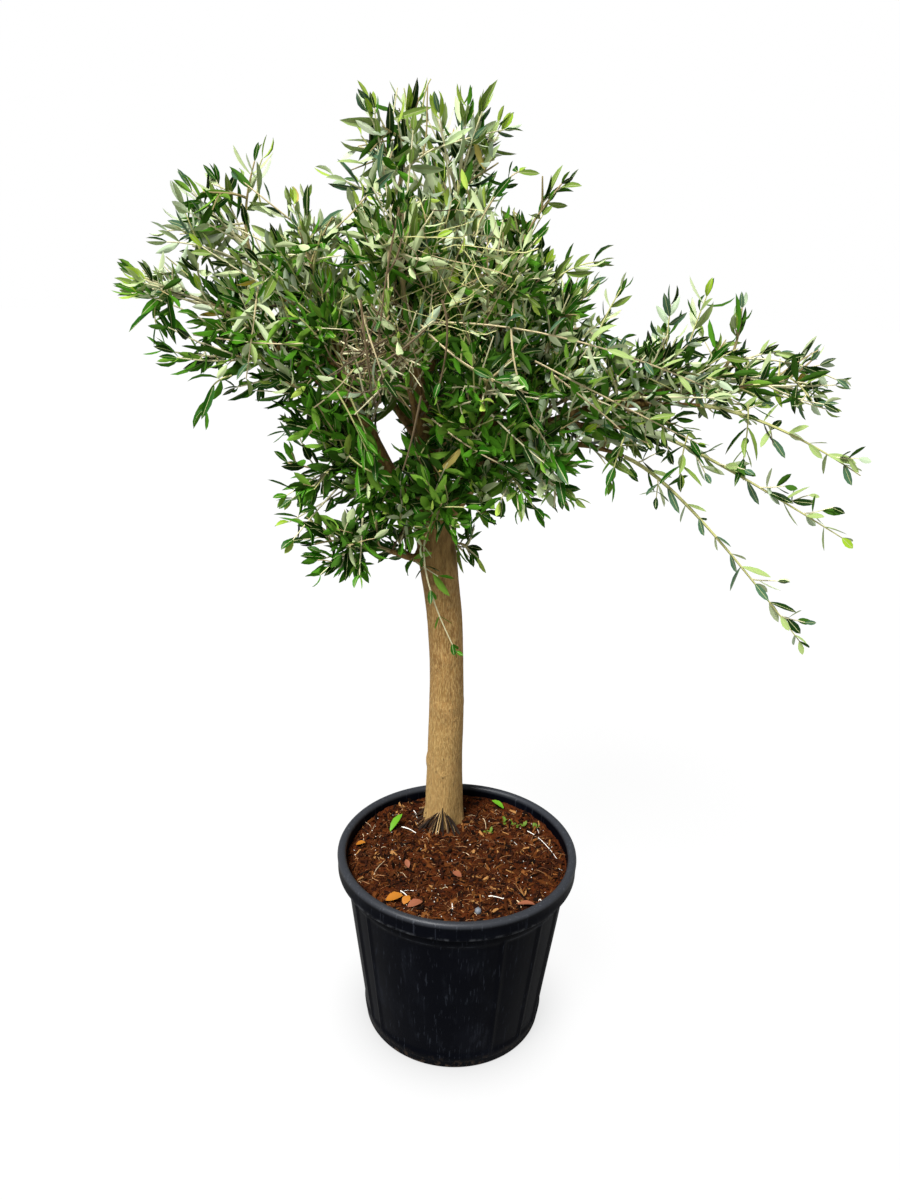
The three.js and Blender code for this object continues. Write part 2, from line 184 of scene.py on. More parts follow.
# Roots that show, as start, end, radius and colour number
LONG_ROOTS = [
    ((0.155, 0.098), (0.214, -0.002), 0.0011, 3),
    ((0.062, -0.127), (0.094, -0.129), 0.0016, 3),
    ((-0.205, 0.074), (-0.203, 0.030), 0.0012, 2),
    ((-0.169, -0.068), (-0.148, -0.016), 0.0009, 2),
    ((-0.122, 0.100), (-0.090, 0.086), 0.0018, 3),
    ((-0.098, 0.165), (-0.088, 0.120), 0.0011, 3),
    ((-0.112, -0.118), (-0.083, -0.168), 0.0013, 3),
    ((0.120, -0.135), (0.128, -0.155), 0.0016, 2),
    ((0.058, 0.150), (0.064, 0.108), 0.0010, 2),
    ((0.172, 0.112), (0.180, 0.085), 0.0009, 3),
    ((-0.010, -0.150), (-0.010, -0.186), 0.0016, 3),
]
# Fallen leaves as x, y, length, width, turn, tilt and colour number
FALLEN = [
    (-0.146, 0.080, 0.052, 0.016, -30, 20, 0),
    (0.106, 0.178, 0.034, 0.015, 56, 16, 0),
    (-0.140, -0.148, 0.036, 0.026, -80, 14, 1),
    (-0.104, -0.158, 0.022, 0.018, -30, 20, 1),
    (-0.096, -0.166, 0.032, 0.022, -70, 10, 2),
    (-0.216, 0.030, 0.022, 0.016, -95, 18, 1),
    (0.120, -0.150, 0.036, 0.014, -100, 8, 2),
    (0.010, -0.068, 0.022, 0.017, 60, 12, 2),
    (-0.100, -0.045, 0.020, 0.012, 20, 30, 2),
]
WEEDS = [(0.105, 0.134), (0.126, 0.124), (0.144, 0.118), (0.175, 0.106), (0.072, 0.095)]
WEED_LEAVES = 7
WEED_COLOUR = 3

# Leaves
LEAF_LENGTH = 0.065
LEAF_WIDTH = 0.0136
INTERNODE = 0.0300
LEAF_CLEARANCE = 0.002
LEAF_ROWS = [0.0, 0.07, 0.28, 0.55, 0.82, 1.0]  # shares of its length
LEAF_OUTLINE = 0.74  # the lower, the blunter
RIB_HALF = 0.032  # share of its width
LEAF_THICKNESS = 0.010  # share of its length
# Each shape: how far it arches down, how its halves fold up, how it twists, and where it is widest
LEAF_FORMS = {
    "flat": (0.03, 0.16, 0.0, 0.50),
    "arched": (-0.16, 0.22, 0.1, 0.48),
    "cupped": (0.12, 0.30, -0.1, 0.52),
    "twisted": (-0.07, 0.20, 0.9, 0.50),
    "short": (-0.06, 0.14, 0.15, 0.56),
}
TOP, UNDER, RIB = 0, 1, 2
LONG_SHAPES = ["flat", "arched", "cupped", "twisted"]
FINE_LEAVED = ["front", "right_front", "right_high", "centre", "right_peak", "right", "right_shoulder"]
LONG_LEAVED = ["left_peak", "left_tip", "left_low", "top_left", "top_right"]
FINE_SIZE, LONG_SIZE = 0.84, 1.16
BROAD = 1.25  # low in the crown and on the slim shoots
LEAF_WIDTHS = (0.85, 1.22)
# How far a leaf points up or down, more so at the far right, and how its face turns to the sky and aside
LEAF_LIFT, FAR_RIGHT_LIFT = (-0.30, 0.45), 0.45
LEAF_TO_SKY, LEAF_LEAN = (0.0, 0.55), (-0.5, 0.5)
CREASE = math.radians(60)  # edges sharper than this stay sharp

# Leaves stand in pairs along a twig. Angles are in degrees from the twig, and close up towards its end
PAIR_SIZES, TIP_SIZE = (0.62, 1.20), 0.70
PAIR_ANGLES, CLOSING = (30, 78), 16
PAIR_TURN, PAIR_SPACING = 0.35, (0.8, 1.25)  # how uneven the pairs are
FALLEN_SHARE = 0.06
END_ANGLES, END_SIZE = (8, 24), 0.55

# Twigs
TIP_SPACE = 0.045  # radius of the space that ends at the tip of a mass
STEM_RADIUS = (0.0042, 0.0014)
TWIG_RADIUS = (0.0025, 0.0013)
SPRAY_RADIUS = (0.0016, 0.0010)
LONGEST_TWIG = 0.185
SHORTEST_TWIG, SHORTEST_SPRAY = 0.014, 0.012
BRANCHED_TWIG = 0.03  # a shorter one has no sprays
SPRAY_ROOM = 0.94  # share of the mass's space that sprays keep to
STEM_SPREAD, BOUGH_SPREAD, SPRAY_SPREAD = (34, 105), (45, 95), (35, 65)  # degrees
STEM_FIRST, STEM_LAST = 0.14, 0.82  # shares of the stem between which its twigs stand
SPRAY_SIZE = 0.92  # of the leaves on a spray
SIDE_SHOOTS = 0.60  # share of the places on a slim shoot where one grows
SHOOT_RADIUS, HANGING_RADIUS = (0.0040, 0.0011), (0.0020, 0.0010)
LIMB_CLEARANCE = 0.002
BRANCH_TRIES, ENOUGH = 5, 0.45  # directions tried for a twig, and how often the best so far will do
UPRIGHT = 0.25  # how much an upright direction counts for
TWIG_RISE = (-0.06, 0.20)
STEM_STEPS, TWIG_STEPS, SPRAY_STEPS, FINE_STEPS = 14, 6, 4, 7  # rings along each
SHOOT_STEPS, SINGLE_STEPS = 26, 16
TRUNK_BALLS, BALL_SPACING = 80, 0.01  # balls that stand for the limbs, which foliage stays clear of
NEIGHBOUR = 1.6  # masses further off than this share of the reach set no parting plane
BOX_MARGIN = 0.0050  # leaves and twigs keep this far inside the box of the solids

# How a twig grows: the colours that it may have, its bare part, where its sprays start, how long they are,
# how far apart they stand, their colours and their bare part
STEM_HABIT = {
    "kinds": ["grown", "green", "pale", "pale"], "bare": (0.15, 0.35), "knots": (0.18, 0.30),
    "longest": 0.105, "apart": 0.040, "spray_kinds": ["green", "pale", "pale", "grown"], "spray_bare": 0.22,
}
BOUGH_HABIT = {
    "kinds": ["old", "grown", "green", "pale"], "bare": (0.25, 0.50), "knots": (0.30, 0.50),
    "longest": 0.085, "apart": 0.030, "spray_kinds": ["green", "green", "pale", "grown"], "spray_bare": 0.25,
}
# Boughs that stay bare for longer or less than most, and the space of twigs round them
BARE_SHARE = {
    "left": 0.08, "centre": 0.12, "right": 0.10, "back": 0.35, "low_left_foot": 0.15,
    "shoot_high": 0.35, "shoot_middle": 0.40, "shoot_low": 0.65,
}
DRESSED_RADIUS = {
    "low_left_foot": 0.085, "left_tip": 0.09, "right_end": 0.07,
    "shoot_high": 0.085, "shoot_middle": 0.10, "shoot_low": 0.06,
}
USUAL_BARE, USUAL_DRESSED = 0.30, 0.115

# Parts of the crown by the place of a mass's heart, in x and in height
RIGHT_SIDE, FAR_RIGHT, FAR_LEFT = 0.30, 0.45, -0.40
LOW_CROWN, SHADY_CROWN, HIGH_CROWN = 1.30, 1.45, 1.70
STEM_SPACING = {"rim": 0.0300, "low": 0.0140, "right": 0.0360, "middle": 0.0205}
CLOSENESS = 0.82  # of the twigs on every stem, the lower the closer
BOUGH_SPACING = {"left": 0.006, "right": 0.022, "middle": 0.013}
# The least share of shaded leaves there, and the share of young ones at the ends of sprays
LEAST_SHADE, FINE_SHADE, RIGHT_SHADE = 0.10, 0.22, 0.28
YOUNG_TIPS, SLIM_YOUNG, HIGH_YOUNG = 0.06, 0.12, 0.5
# Leaves nearer to the heart than this share of the reach take the shaded tone, painted shade, more and more
# often, most so low down
SHADE_DEPTH, SHADY, LESS_SHADY = 0.80, 1.7, 0.7
YELLOWED_SHARE = 0.003
SPRAY_END = 0.86  # young leaves grow beyond this share of a spray
OWN_TONE, OWN_TONE_RIGHT = 0.73, 0.60  # share of the leaves that have their spray's own tone
# Sprays are mostly deep green below a height and left of a line, with soft limits
DEEP_BELOW, DEEP_FADE = 1.60, 0.24
DEEP_LEFT_OF, DEEP_SIDE_FADE = 0.22, 0.14
DEEP_SPRAYS, DEEPEST = 0.86, 0.74
# Others are silver or grey, the more the higher, then olive, and fresh green
SILVER_ABOVE, SILVER_FADE, SILVER_SHARE = 1.38, 0.30, 0.40
GREY_LIMIT, FINE_GREY_LIMIT, OLIVE_LIMIT = 0.58, 0.42, 0.90
RIGHT_LEAST, RIGHT_SPAN = 0.15, 0.82  # on the right neither the most silvery nor the freshest grow

# The sky shows through the crown here, left of the fork: an oval slot between two points
SKY_GAP_LINE = (Vector((-0.133, -0.10, 1.290)), Vector((-0.172, 0.56, 1.150)))
SKY_GAP_HALF_WIDTH, SKY_GAP_HALF_HEIGHT = 0.029, 0.064
SKY_GAP_RAGGED = 0.9

# Long pale shoots that run out from the middle of the crown
RUNNERS = 190
# Shoots seen to cross the front of the crown, each by its start, its middle and its end
CROSSING = [
    ((-0.075, -0.120, 1.480), (0.175, -0.100, 1.460), (0.475, 0.000, 1.350)),
    ((0.105, -0.110, 1.420), (0.240, -0.070, 1.360), (0.405, -0.020, 1.280)),
    ((0.140, -0.100, 1.395), (0.220, -0.060, 1.340), (0.295, -0.030, 1.275)),
    ((0.065, -0.120, 1.530), (0.070, -0.140, 1.410), (0.145, -0.080, 1.265)),
    ((-0.090, -0.150, 1.480), (-0.010, -0.150, 1.425), (0.090, -0.130, 1.380)),
    ((-0.070, -0.080, 1.310), (-0.005, -0.090, 1.280), (0.060, -0.080, 1.245)),
    ((-0.195, -0.140, 1.525), (-0.165, -0.150, 1.455), (-0.140, -0.140, 1.385)),
    ((-0.295, -0.040, 1.310), (-0.240, -0.060, 1.360), (-0.200, -0.090, 1.405)),
    ((-0.505, 0.000, 1.435), (-0.380, -0.020, 1.435), (-0.290, -0.050, 1.440)),
    ((-0.385, 0.000, 1.520), (-0.380, -0.020, 1.460), (-0.400, 0.000, 1.370)),
    ((-0.135, 0.000, 1.700), (-0.145, -0.030, 1.625), (-0.140, -0.120, 1.520)),
    ((-0.285, 0.030, 1.590), (-0.185, 0.000, 1.675), (-0.145, 0.030, 1.745)),
    ((-0.010, -0.020, 1.610), (0.035, 0.020, 1.690), (0.070, 0.060, 1.720)),
    ((-0.295, 0.020, 1.610), (-0.365, 0.060, 1.665), (-0.410, 0.090, 1.695)),
]
# Brown twigs seen there, likewise
BROWN_TWIGS = [
    ((-0.125, -0.060, 1.660), (-0.140, -0.100, 1.580), (-0.155, -0.130, 1.455)),
    ((-0.145, -0.100, 1.560), (-0.125, -0.090, 1.595), (-0.120, -0.070, 1.650)),
    ((-0.080, -0.130, 1.480), (-0.135, -0.130, 1.435), (-0.180, -0.120, 1.415)),
    ((-0.055, -0.120, 1.525), (-0.045, -0.130, 1.465), (-0.060, -0.120, 1.375)),
    ((-0.085, -0.130, 1.375), (-0.100, -0.120, 1.300), (-0.115, -0.110, 1.245)),
    ((-0.185, -0.100, 1.520), (-0.175, -0.130, 1.455), (-0.165, -0.130, 1.380)),
]
# Leafy sprays that hang or stand out from the outline, likewise
SPRAYS = [
    ((0.385, 0.000, 1.295), (0.380, 0.000, 1.260), (0.380, 0.000, 1.225)),
    ((0.490, 0.020, 1.350), (0.495, 0.020, 1.305), (0.495, 0.020, 1.240)),
    ((0.270, -0.030, 1.300), (0.260, -0.030, 1.265), (0.250, -0.030, 1.215)),
    ((0.120, 0.050, 1.530), (0.160, 0.050, 1.565), (0.210, 0.050, 1.580)),
    ((0.215, 0.000, 1.475), (0.230, 0.000, 1.510), (0.245, 0.000, 1.540)),
    ((0.335, 0.020, 1.445), (0.335, 0.020, 1.480), (0.335, 0.020, 1.515)),
    ((0.375, 0.020, 1.455), (0.385, 0.020, 1.495), (0.395, 0.020, 1.530)),
    ((0.100, -0.050, 1.315), (0.140, -0.050, 1.270), (0.160, -0.050, 1.200)),
    ((-0.100, 0.120, 1.790), (-0.095, 0.120, 1.835), (-0.085, 0.120, 1.860)),
    ((-0.125, 0.120, 1.780), (-0.125, 0.120, 1.815), (-0.130, 0.120, 1.845)),
    ((-0.005, 0.140, 1.790), (0.005, 0.140, 1.825), (0.015, 0.140, 1.855)),
    ((-0.375, 0.100, 1.655), (-0.380, 0.100, 1.695), (-0.370, 0.100, 1.730)),
    ((-0.475, 0.060, 1.575), (-0.490, 0.060, 1.620), (-0.505, 0.060, 1.655)),
    ((-0.520, 0.050, 1.525), (-0.555, 0.050, 1.495), (-0.560, 0.050, 1.455)),
    ((-0.425, 0.020, 1.375), (-0.460, 0.020, 1.355), (-0.475, 0.020, 1.315)),
    ((-0.230, -0.060, 1.365), (-0.205, -0.060, 1.320), (-0.180, -0.060, 1.265)),
    ((-0.210, -0.030, 1.350), (-0.185, -0.030, 1.290), (-0.165, -0.030, 1.240)),
    ((-0.215, -0.020, 1.245), (-0.180, -0.020, 1.220), (-0.140, -0.020, 1.210)),
]
CROWN_MIDDLE = Vector((-0.05, 0.16, 1.36))
LONGEST_RUNNER, SHORTEST_RUNNER = 0.26, 0.10
RUNNER_RADIUS = (0.0021, 0.0011)
RUNNER_SPACE, SINGLE_SPACE = 0.075, 0.060  # radii of the space round a runner and a single shoot

# Brown twigs with few leaves show in the crown here: the middle and the reach of the space
TWIGGY_HEART = Vector((-0.155, -0.020, 1.425))
TWIGGY_REACH = Vector((0.085, 0.150, 0.105))
TWIGGY_LEAVES = 0.45  # share of the leaves that grow there
TWIGGY_KINDS = ["old", "old", "grown", "pale"]
# Fine pale strands curl through the crown above it
PALE_HEART = Vector((-0.035, -0.055, 1.560))
PALE_REACH = Vector((0.150, 0.090, 0.140))
PALE_KINDS = ["green", "grown", "green", "old"]

# Colours as they look in daylight, made linear by tone
LEAF_TONES = {
    "silver": ("a9be88", "ccd8b8"),
    "slate": ("46664a", "b4c6a4"),
    "grey": ("97ae67", "c2d0a2"),
    "olive": ("748f3b", "bccb96"),
    "deep": ("1e5205", "457a1a"),
    "fresh": ("3d7810", "6f9a34"),
    # Painted shade: the dark tone of leaves deep inside a mass, and of a few anywhere
    "shaded": ("143204", "365c18"),
    "young": ("90b22c", "a6c052"),
    "yellowed": ("c2a63a", "c9b765"),
}
RIB_TONE = "aab07a"
TWIG_TONES = {"old": "66563c", "grown": "a19163", "green": "bdbc7a", "pale": "d6d0a6", "runner": "c9b98f"}
# The tone that now and then stands beside a spray's own
BESIDE = {"silver": "slate", "grey": "slate", "olive": "deep", "deep": "fresh", "fresh": "deep"}

# Pieces of leaves, each with the masses that it takes
LEAF_PIECES = {
    "leaves_top": ["centre", "top_left", "top_right", "right_high", "right_peak", "right_shoulder"],
    "leaves_left": ["left", "left_peak", "left_tip", "left_low", "low_left", "low_left_foot"],
    "leaves_middle": ["front", "right_front", "low_right", "low_centre", "trunk_sprig", "right",
                      "hanging_shoot"],
    "leaves_right": ["right_outer", "right_far", "right_end", "shoot_high", "shoot_middle", "shoot_low"],
    "leaves_back": ["back", "back_top", "back_low"],
    "leaves_back_sides": ["back_left", "back_right"],
}

# Light and view
AMBIENT = 0.24
KEY_PLACE, KEY_ANGLE, KEY_STRENGTH = (-0.9, -1.3, 2.3), 24, 5.6
FILL_PLACE, FILL_ANGLE, FILL_STRENGTH = (1.6, -1.0, 1.0), 60, 0.35
FLOOR_PALE, FLOOR_SEEN = "a4a4a3", "303030"
FLOOR_GLOW = (0.60, 0.965)  # the floor's glow: dimmed to a painted contact shadow close under the pot, and in the open
CONTACT_REACH = 0.14
FLOOR_SIZE = 14.0
CAMERA_PLACE = (-0.029, -1.763, 1.666)
CAMERA_PITCH, CAMERA_ROLL = 21.6, 1.56
LENS, SENSOR = 30.0, 36.0


class Bough:
    """How a mass's bough leaves its parent: at a share of its length, with a radius and its middle's lift"""

    def __init__(self, parent, at, radius=0.0, lift=0.0):
        self.parent, self.at, self.radius, self.lift = parent, at, radius, lift


class Mass:
    """A mass of foliage: a heart, the reach round it, and the tip of its stem. A slim one is a shoot."""

    def __init__(self, name, bough, heart, reach, tip):
        self.name, self.bough = name, bough
        self.heart, self.tip = Vector(heart), Vector(tip)
        self.reach = reach and Vector(reach)
        self.slim = reach is None
        self.fine = name in FINE_LEAVED
        self.right = self.heart.x > RIGHT_SIDE
        self.least_shade = max(LEAST_SHADE, FINE_SHADE * self.fine, RIGHT_SHADE * self.right)
        self.young_tips = max(YOUNG_TIPS, SLIM_YOUNG * self.slim, HIGH_YOUNG * (self.heart.z > HIGH_CROWN))
        self.random = random.Random(f"{SEED} {name}")
        self.turn = self.random.uniform(0, 2 * math.pi)
        self.space = SHOOT_SPACE
        self.end = self.tip.lerp(self.heart, min(0.5, TIP_SPACE / (self.tip - self.heart).length))

    def reach_along(self, direction):
        if self.slim:
            return SHOOT_ENTRY
        return Vector(radius * part for radius, part in zip(self.reach, direction)).length


MASSES = [
    Mass("centre", Bough("trunk", 0.93, 0.027, 0.020),
         (-0.130, 0.005, 1.585), (0.120, 0.115, 0.115), (-0.150, -0.070, 1.640)),
    Mass("left", Bough("trunk", 0.90, 0.019, -0.150),
         (-0.285, 0.065, 1.555), (0.120, 0.130, 0.115), (-0.315, 0.040, 1.660)),
    Mass("right", Bough("trunk", 0.92, 0.025, 0.060),
         (0.205, 0.065, 1.365), (0.102, 0.115, 0.100), (0.270, 0.025, 1.315)),
    Mass("back", Bough("trunk", 0.94, 0.024, 0.030),
         (-0.085, 0.475, 1.400), (0.165, 0.140, 0.145), (-0.085, 0.590, 1.390)),
    Mass("low_left_foot", Bough("trunk", 0.82, 0.013, -0.020),
         (-0.222, 0.060, 1.075), (0.125, 0.105, 0.100), (-0.328, 0.040, 1.045)),
    Mass("top_left", Bough("centre", 0.72, 0.012, 0.010),
         (-0.145, 0.100, 1.712), (0.105, 0.120, 0.125), (-0.090, 0.100, 1.868)),
    Mass("top_right", Bough("centre", 0.62, 0.013, 0.010),
         (-0.030, 0.165, 1.722), (0.095, 0.120, 0.110), (0.012, 0.165, 1.850)),
    Mass("front", Bough("centre", 0.36, 0.010, 0.015),
         (-0.135, -0.040, 1.445), (0.115, 0.110, 0.110), (-0.155, -0.120, 1.475)),
    Mass("left_peak", Bough("left", 0.74, 0.011, 0.015),
         (-0.438, 0.145, 1.592), (0.130, 0.120, 0.112), (-0.380, 0.150, 1.765)),
    Mass("left_tip", Bough("left", 0.60, 0.012, 0.020),
         (-0.505, 0.095, 1.512), (0.110, 0.100, 0.085), (-0.637, 0.080, 1.508)),
    Mass("left_low", Bough("left", 0.47, 0.010, 0.020),
         (-0.435, 0.095, 1.415), (0.130, 0.115, 0.095), (-0.535, 0.080, 1.375)),
    Mass("low_left", Bough("left", 0.25, 0.010, -0.010),
         (-0.266, 0.085, 1.222), (0.102, 0.110, 0.150), (-0.296, 0.075, 1.135)),
    Mass("right_high", Bough("right", 0.35, 0.011, 0.010),
         (0.025, 0.025, 1.545), (0.120, 0.120, 0.115), (0.070, -0.055, 1.610)),
    Mass("right_peak", Bough("right", 0.55, 0.011, 0.010),
         (0.060, 0.120, 1.595), (0.080, 0.120, 0.085), (0.168, 0.100, 1.735)),
    Mass("right_front", Bough("right", 0.45, 0.009, 0.015),
         (0.020, -0.035, 1.400), (0.115, 0.110, 0.110), (0.045, -0.115, 1.385)),
    Mass("right_shoulder", Bough("right", 0.80, 0.009, 0.008),
         (0.145, 0.120, 1.452), (0.080, 0.115, 0.080), (0.195, 0.120, 1.552)),
    Mass("low_right", Bough("right", 0.22, 0.011, 0.000),
         (0.095, 0.005, 1.262), (0.140, 0.110, 0.120), (0.205, 0.060, 1.128)),
    Mass("right_outer", Bough("right", 0.72, 0.014, 0.020),
         (0.358, 0.055, 1.370), (0.110, 0.110, 0.115), (0.325, 0.060, 1.490)),
    Mass("right_far", Bough("right_outer", 0.50, 0.009, 0.015),
         (0.490, 0.120, 1.385), (0.085, 0.095, 0.065), (0.482, 0.115, 1.545)),
    Mass("right_end", Bough("right_outer", 0.40, 0.009, 0.030),
         (0.575, 0.080, 1.375), (0.090, 0.085, 0.080), (0.640, 0.080, 1.455)),
    Mass("back_top", Bough("back", 0.60, 0.012, 0.015),
         (-0.090, 0.350, 1.645), (0.165, 0.155, 0.140), (-0.095, 0.410, 1.740)),
    Mass("back_left", Bough("back", 0.40, 0.012, 0.020),
         (-0.345, 0.350, 1.475), (0.180, 0.155, 0.155), (-0.475, 0.390, 1.490)),
    Mass("back_right", Bough("back", 0.45, 0.012, 0.020),
         (0.175, 0.350, 1.445), (0.180, 0.155, 0.125), (0.305, 0.390, 1.430)),
    Mass("back_low", Bough("trunk", 0.93),
         (-0.125, 0.330, 1.215), (0.155, 0.140, 0.130), (-0.150, 0.415, 1.115)),
    Mass("low_centre", Bough("trunk", 0.96),
         (-0.045, 0.030, 1.185), (0.130, 0.095, 0.125), (-0.065, -0.030, 1.095)),
    Mass("trunk_sprig", Bough("trunk", 0.87),
         (0.000, 0.120, 1.055), (0.045, 0.050, 0.055), (0.025, 0.115, 0.985)),
    Mass("shoot_high", Bough("right_outer", 0.55, 0.008, 0.060),
         (0.575, 0.045, 1.308), None, (0.737, 0.030, 1.210)),
    Mass("shoot_middle", Bough("right", 0.70, 0.010, 0.100),
         (0.460, 0.025, 1.240), None, (0.712, 0.000, 1.100)),
    Mass("shoot_low", Bough("right", 0.60, 0.009, 0.120),
         (0.420, 0.012, 1.163), None, (0.660, 0.000, 0.884)),
    Mass("hanging_shoot", Bough("trunk", 0.93),
         (-0.112, 0.055, 1.030), None, (-0.004, 0.072, 0.808)),
]


def tone(code):
    """The linear colour of a six-figure code of a colour as it looks"""
    parts = [int(code[place:place + 2], 16) / 255 for place in (0, 2, 4)]
    return [part / 12.92 if part <= 0.04045 else ((part + 0.055) / 1.055) ** 2.4 for part in parts] + [1.0]


def mix(low, high, share):
    return low + (high - low) * share


def clamp(value, low=0.0, high=1.0):
    return max(low, min(high, value))


def smooth(share):
    share = clamp(share)
    return share * share * (3 - 2 * share)


def new_object(name, mesh, body="root"):
    """The mesh as an object of the scene that rides on a body"""
    made = bpy.data.objects.new(name, mesh)
    bpy.context.collection.objects.link(made)
    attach(made, body)
    return made


def mesh_of(name, bm, smooth_shade=True):
    """A bmesh as a finished mesh"""
    mesh = bpy.data.meshes.new(name)
    bm.to_mesh(mesh)
    bm.free()
    if smooth_shade:
        mesh.shade_smooth()
    else:
        mesh.shade_flat()
    return mesh


# Curves


class Curve:
    """A smooth line, read by share of its length"""

    def __init__(self, start, leave, arrive, end, parts=24):
        self.points = interpolate_bezier(start, leave, arrive, end, parts + 1)
        self.marks = [0.0]
        for before, after in zip(self.points, self.points[1:]):
            self.marks.append(self.marks[-1] + (after - before).length)
        self.length = self.marks[-1]

    def _place(self, share):
        wanted = clamp(share) * self.length
        index = 1
        while index < len(self.marks) - 1 and self.marks[index] < wanted:
            index += 1
        gap = self.marks[index] - self.marks[index - 1]
        return index, clamp((wanted - self.marks[index - 1]) / max(gap, 1e-9))

    def at(self, share):
        index, part = self._place(share)
        return self.points[index - 1].lerp(self.points[index], part)

    def along(self, count, first=0.0):
        """Places at even steps along the curve, from a share of its length to its end"""
        return [self.at(mix(first, 1.0, step / count)) for step in range(count + 1)]

    def ahead(self, share):
        index, part = self._place(share)
        before = self.points[index] - self.points[index - 1]
        after = self.points[min(index + 1, len(self.points) - 1)] - self.points[index]
        if after.length < 1e-9:
            after = before
        return before.lerp(after, part * 0.5).normalized()

    def sideways(self, share, turn):
        """The direction square to the curve, turned round it"""
        chord = self.points[-1] - self.points[0]
        level = Vector((0, 1, 0)) if abs(chord.y) < abs(chord.x) else Vector((1, 0, 0))
        ahead = self.ahead(share)
        return Matrix.Rotation(turn, 3, ahead) @ level.cross(ahead).normalized()

    def branching(self, share, turn, angle):
        """A direction that leaves the curve at an angle from its own"""
        return self.ahead(share) * math.cos(angle) + self.sideways(share, turn) * math.sin(angle)


def trunk_middle(share):
    """The trunk's middle at a share of its height, smooth through the named rows"""
    height = mix(TRUNK_FOOT, TRUNK_FORK, share)
    index = 1
    while index < len(TRUNK_MIDDLE) - 1 and TRUNK_MIDDLE[index][0] < height:
        index += 1
    before = TRUNK_MIDDLE[max(index - 2, 0)]
    low = TRUNK_MIDDLE[index - 1]
    high = TRUNK_MIDDLE[index]
    after = TRUNK_MIDDLE[min(index + 1, len(TRUNK_MIDDLE) - 1)]
    span = high[0] - low[0]
    part = clamp((height - low[0]) / span)
    place = []
    for axis in (1, 2):
        leave = (high[axis] - before[axis]) / max(high[0] - before[0], 1e-9) * span
        arrive = (after[axis] - low[axis]) / max(after[0] - low[0], 1e-9) * span
        value = (2 * part**3 - 3 * part**2 + 1) * low[axis] + (part**3 - 2 * part**2 + part) * leave
        value += (3 * part**2 - 2 * part**3) * high[axis] + (part**3 - part**2) * arrive
        place.append(value)
    return Vector((place[0], place[1], height))


def trunk_radius(share):
    """The trunk's radius at a share of its height, eased between the named rows"""
    for (before, low), (after, high) in zip(TRUNK_RADII, TRUNK_RADII[1:]):
        if share <= after:
            return mix(low, high, smooth((share - before) / (after - before)))
    return TRUNK_RADII[-1][1]


def bough_curve(mass, start):
    """The bough rises to its lift and ends where it enters its mass."""
    bend = start.lerp(mass.heart, 0.5) + UP * mass.bough.lift
    share = 0.0
    while share < 0.98:
        point = start.lerp(bend, share).lerp(bend.lerp(mass.heart, share), share)
        back = point - mass.heart
        if back.length <= (1 if mass.slim else BOUGH_ENTRY) * mass.reach_along(back.normalized()):
            break
        share += 0.01
    bend = start.lerp(bend, share)
    return Curve(start, start.lerp(bend, 2 / 3), point.lerp(bend, 2 / 3), point)


def stem_curve(mass):
    """The stem runs on from the bough's end, or from inside the trunk, by the heart and towards the tip."""
    if mass.bough.radius:
        foot, ahead = mass.limb.at(1), mass.limb.ahead(1)
    else:
        foot = trunk_middle(mass.bough.at)
        ahead = mass.heart - foot
        ahead = Vector((ahead.x, ahead.y, 0)).normalized()
    set_back = min(0.7, 0.62 * LEAF_LENGTH * (0.6 if mass.slim else 1) / (mass.tip - mass.heart).length)
    bend = foot + ahead * 0.35 * (mass.heart - foot).length
    return Curve(foot, bend, mass.heart, mass.tip.lerp(mass.heart, set_back), 40)


BY_NAME = {mass.name: mass for mass in MASSES}
for mass in MASSES:
    if mass.bough.radius:
        root = mass.bough.parent
        start = trunk_middle(mass.bough.at) if root == "trunk" else BY_NAME[root].limb.at(mass.bough.at)
        mass.limb = bough_curve(mass, start)
    mass.stem = stem_curve(mass)

# The space that each mass keeps to


def parting_planes(own):
    """Planes between a mass and its neighbours, set by how far the two reach"""
    planes = []
    for other in MASSES:
        if other is own or other.slim or own.slim:
            continue
        normal = other.heart - own.heart
        apart = normal.length
        normal = normal.normalized()
        mine = own.reach_along(normal)
        limit = apart * mine / (mine + other.reach_along(normal))
        if limit < NEIGHBOUR * mine:
            planes.append((normal, limit))
    return planes


for mass in MASSES:
    mass.planes = parting_planes(mass)
    mass.line = mass.stem.along(32)


def bough_end(mass):
    return max(BOUGH_THINNEST, BOUGH_TAPER * mass.bough.radius)


def limb_balls():
    """Balls along the trunk and the boughs, which foliage stays clear of"""
    for step in range(TRUNK_BALLS + 1):
        yield trunk_middle(step / TRUNK_BALLS), trunk_radius(step / TRUNK_BALLS)
    for mass in MASSES:
        if mass.bough.radius:
            count = math.ceil(mass.limb.length / BALL_SPACING)
            for step in range(count + 1):
                yield mass.limb.at(step / count), mix(mass.bough.radius, bough_end(mass), step / count)


BALLS = list(limb_balls())
BALL_TREE = kdtree.KDTree(len(BALLS))
for index, (centre, _) in enumerate(BALLS):
    BALL_TREE.insert(centre, index)
BALL_TREE.balance()
BOX_LOW = [value + BOX_MARGIN for value in cad_box[0]]
BOX_HIGH = [value - BOX_MARGIN for value in cad_box[1]]


def clear_of_limbs(point, radius):
    for _, index, distance in BALL_TREE.find_range(point, 0.05):
        if distance < BALLS[index][1] + radius:
            return False
    return True


def in_oval(offset, reach):
    """How far out an offset lies in an oval space, squared: one at its edge"""
    return sum((part / radius) ** 2 for part, radius in zip(offset, reach))


def in_sky_gap(point):
    """True inside the gap, an upright oval slot along its line with a ragged edge"""
    near, far = SKY_GAP_LINE
    share = clamp((point.y - near.y) / (far.y - near.y))
    middle = near.lerp(far, share)
    across, up = (point.x - middle.x) / SKY_GAP_HALF_WIDTH, (point.z - middle.z) / SKY_GAP_HALF_HEIGHT
    return across ** 2 + up ** 2 < 1 + SKY_GAP_RAGGED * noise.noise(point * 28)


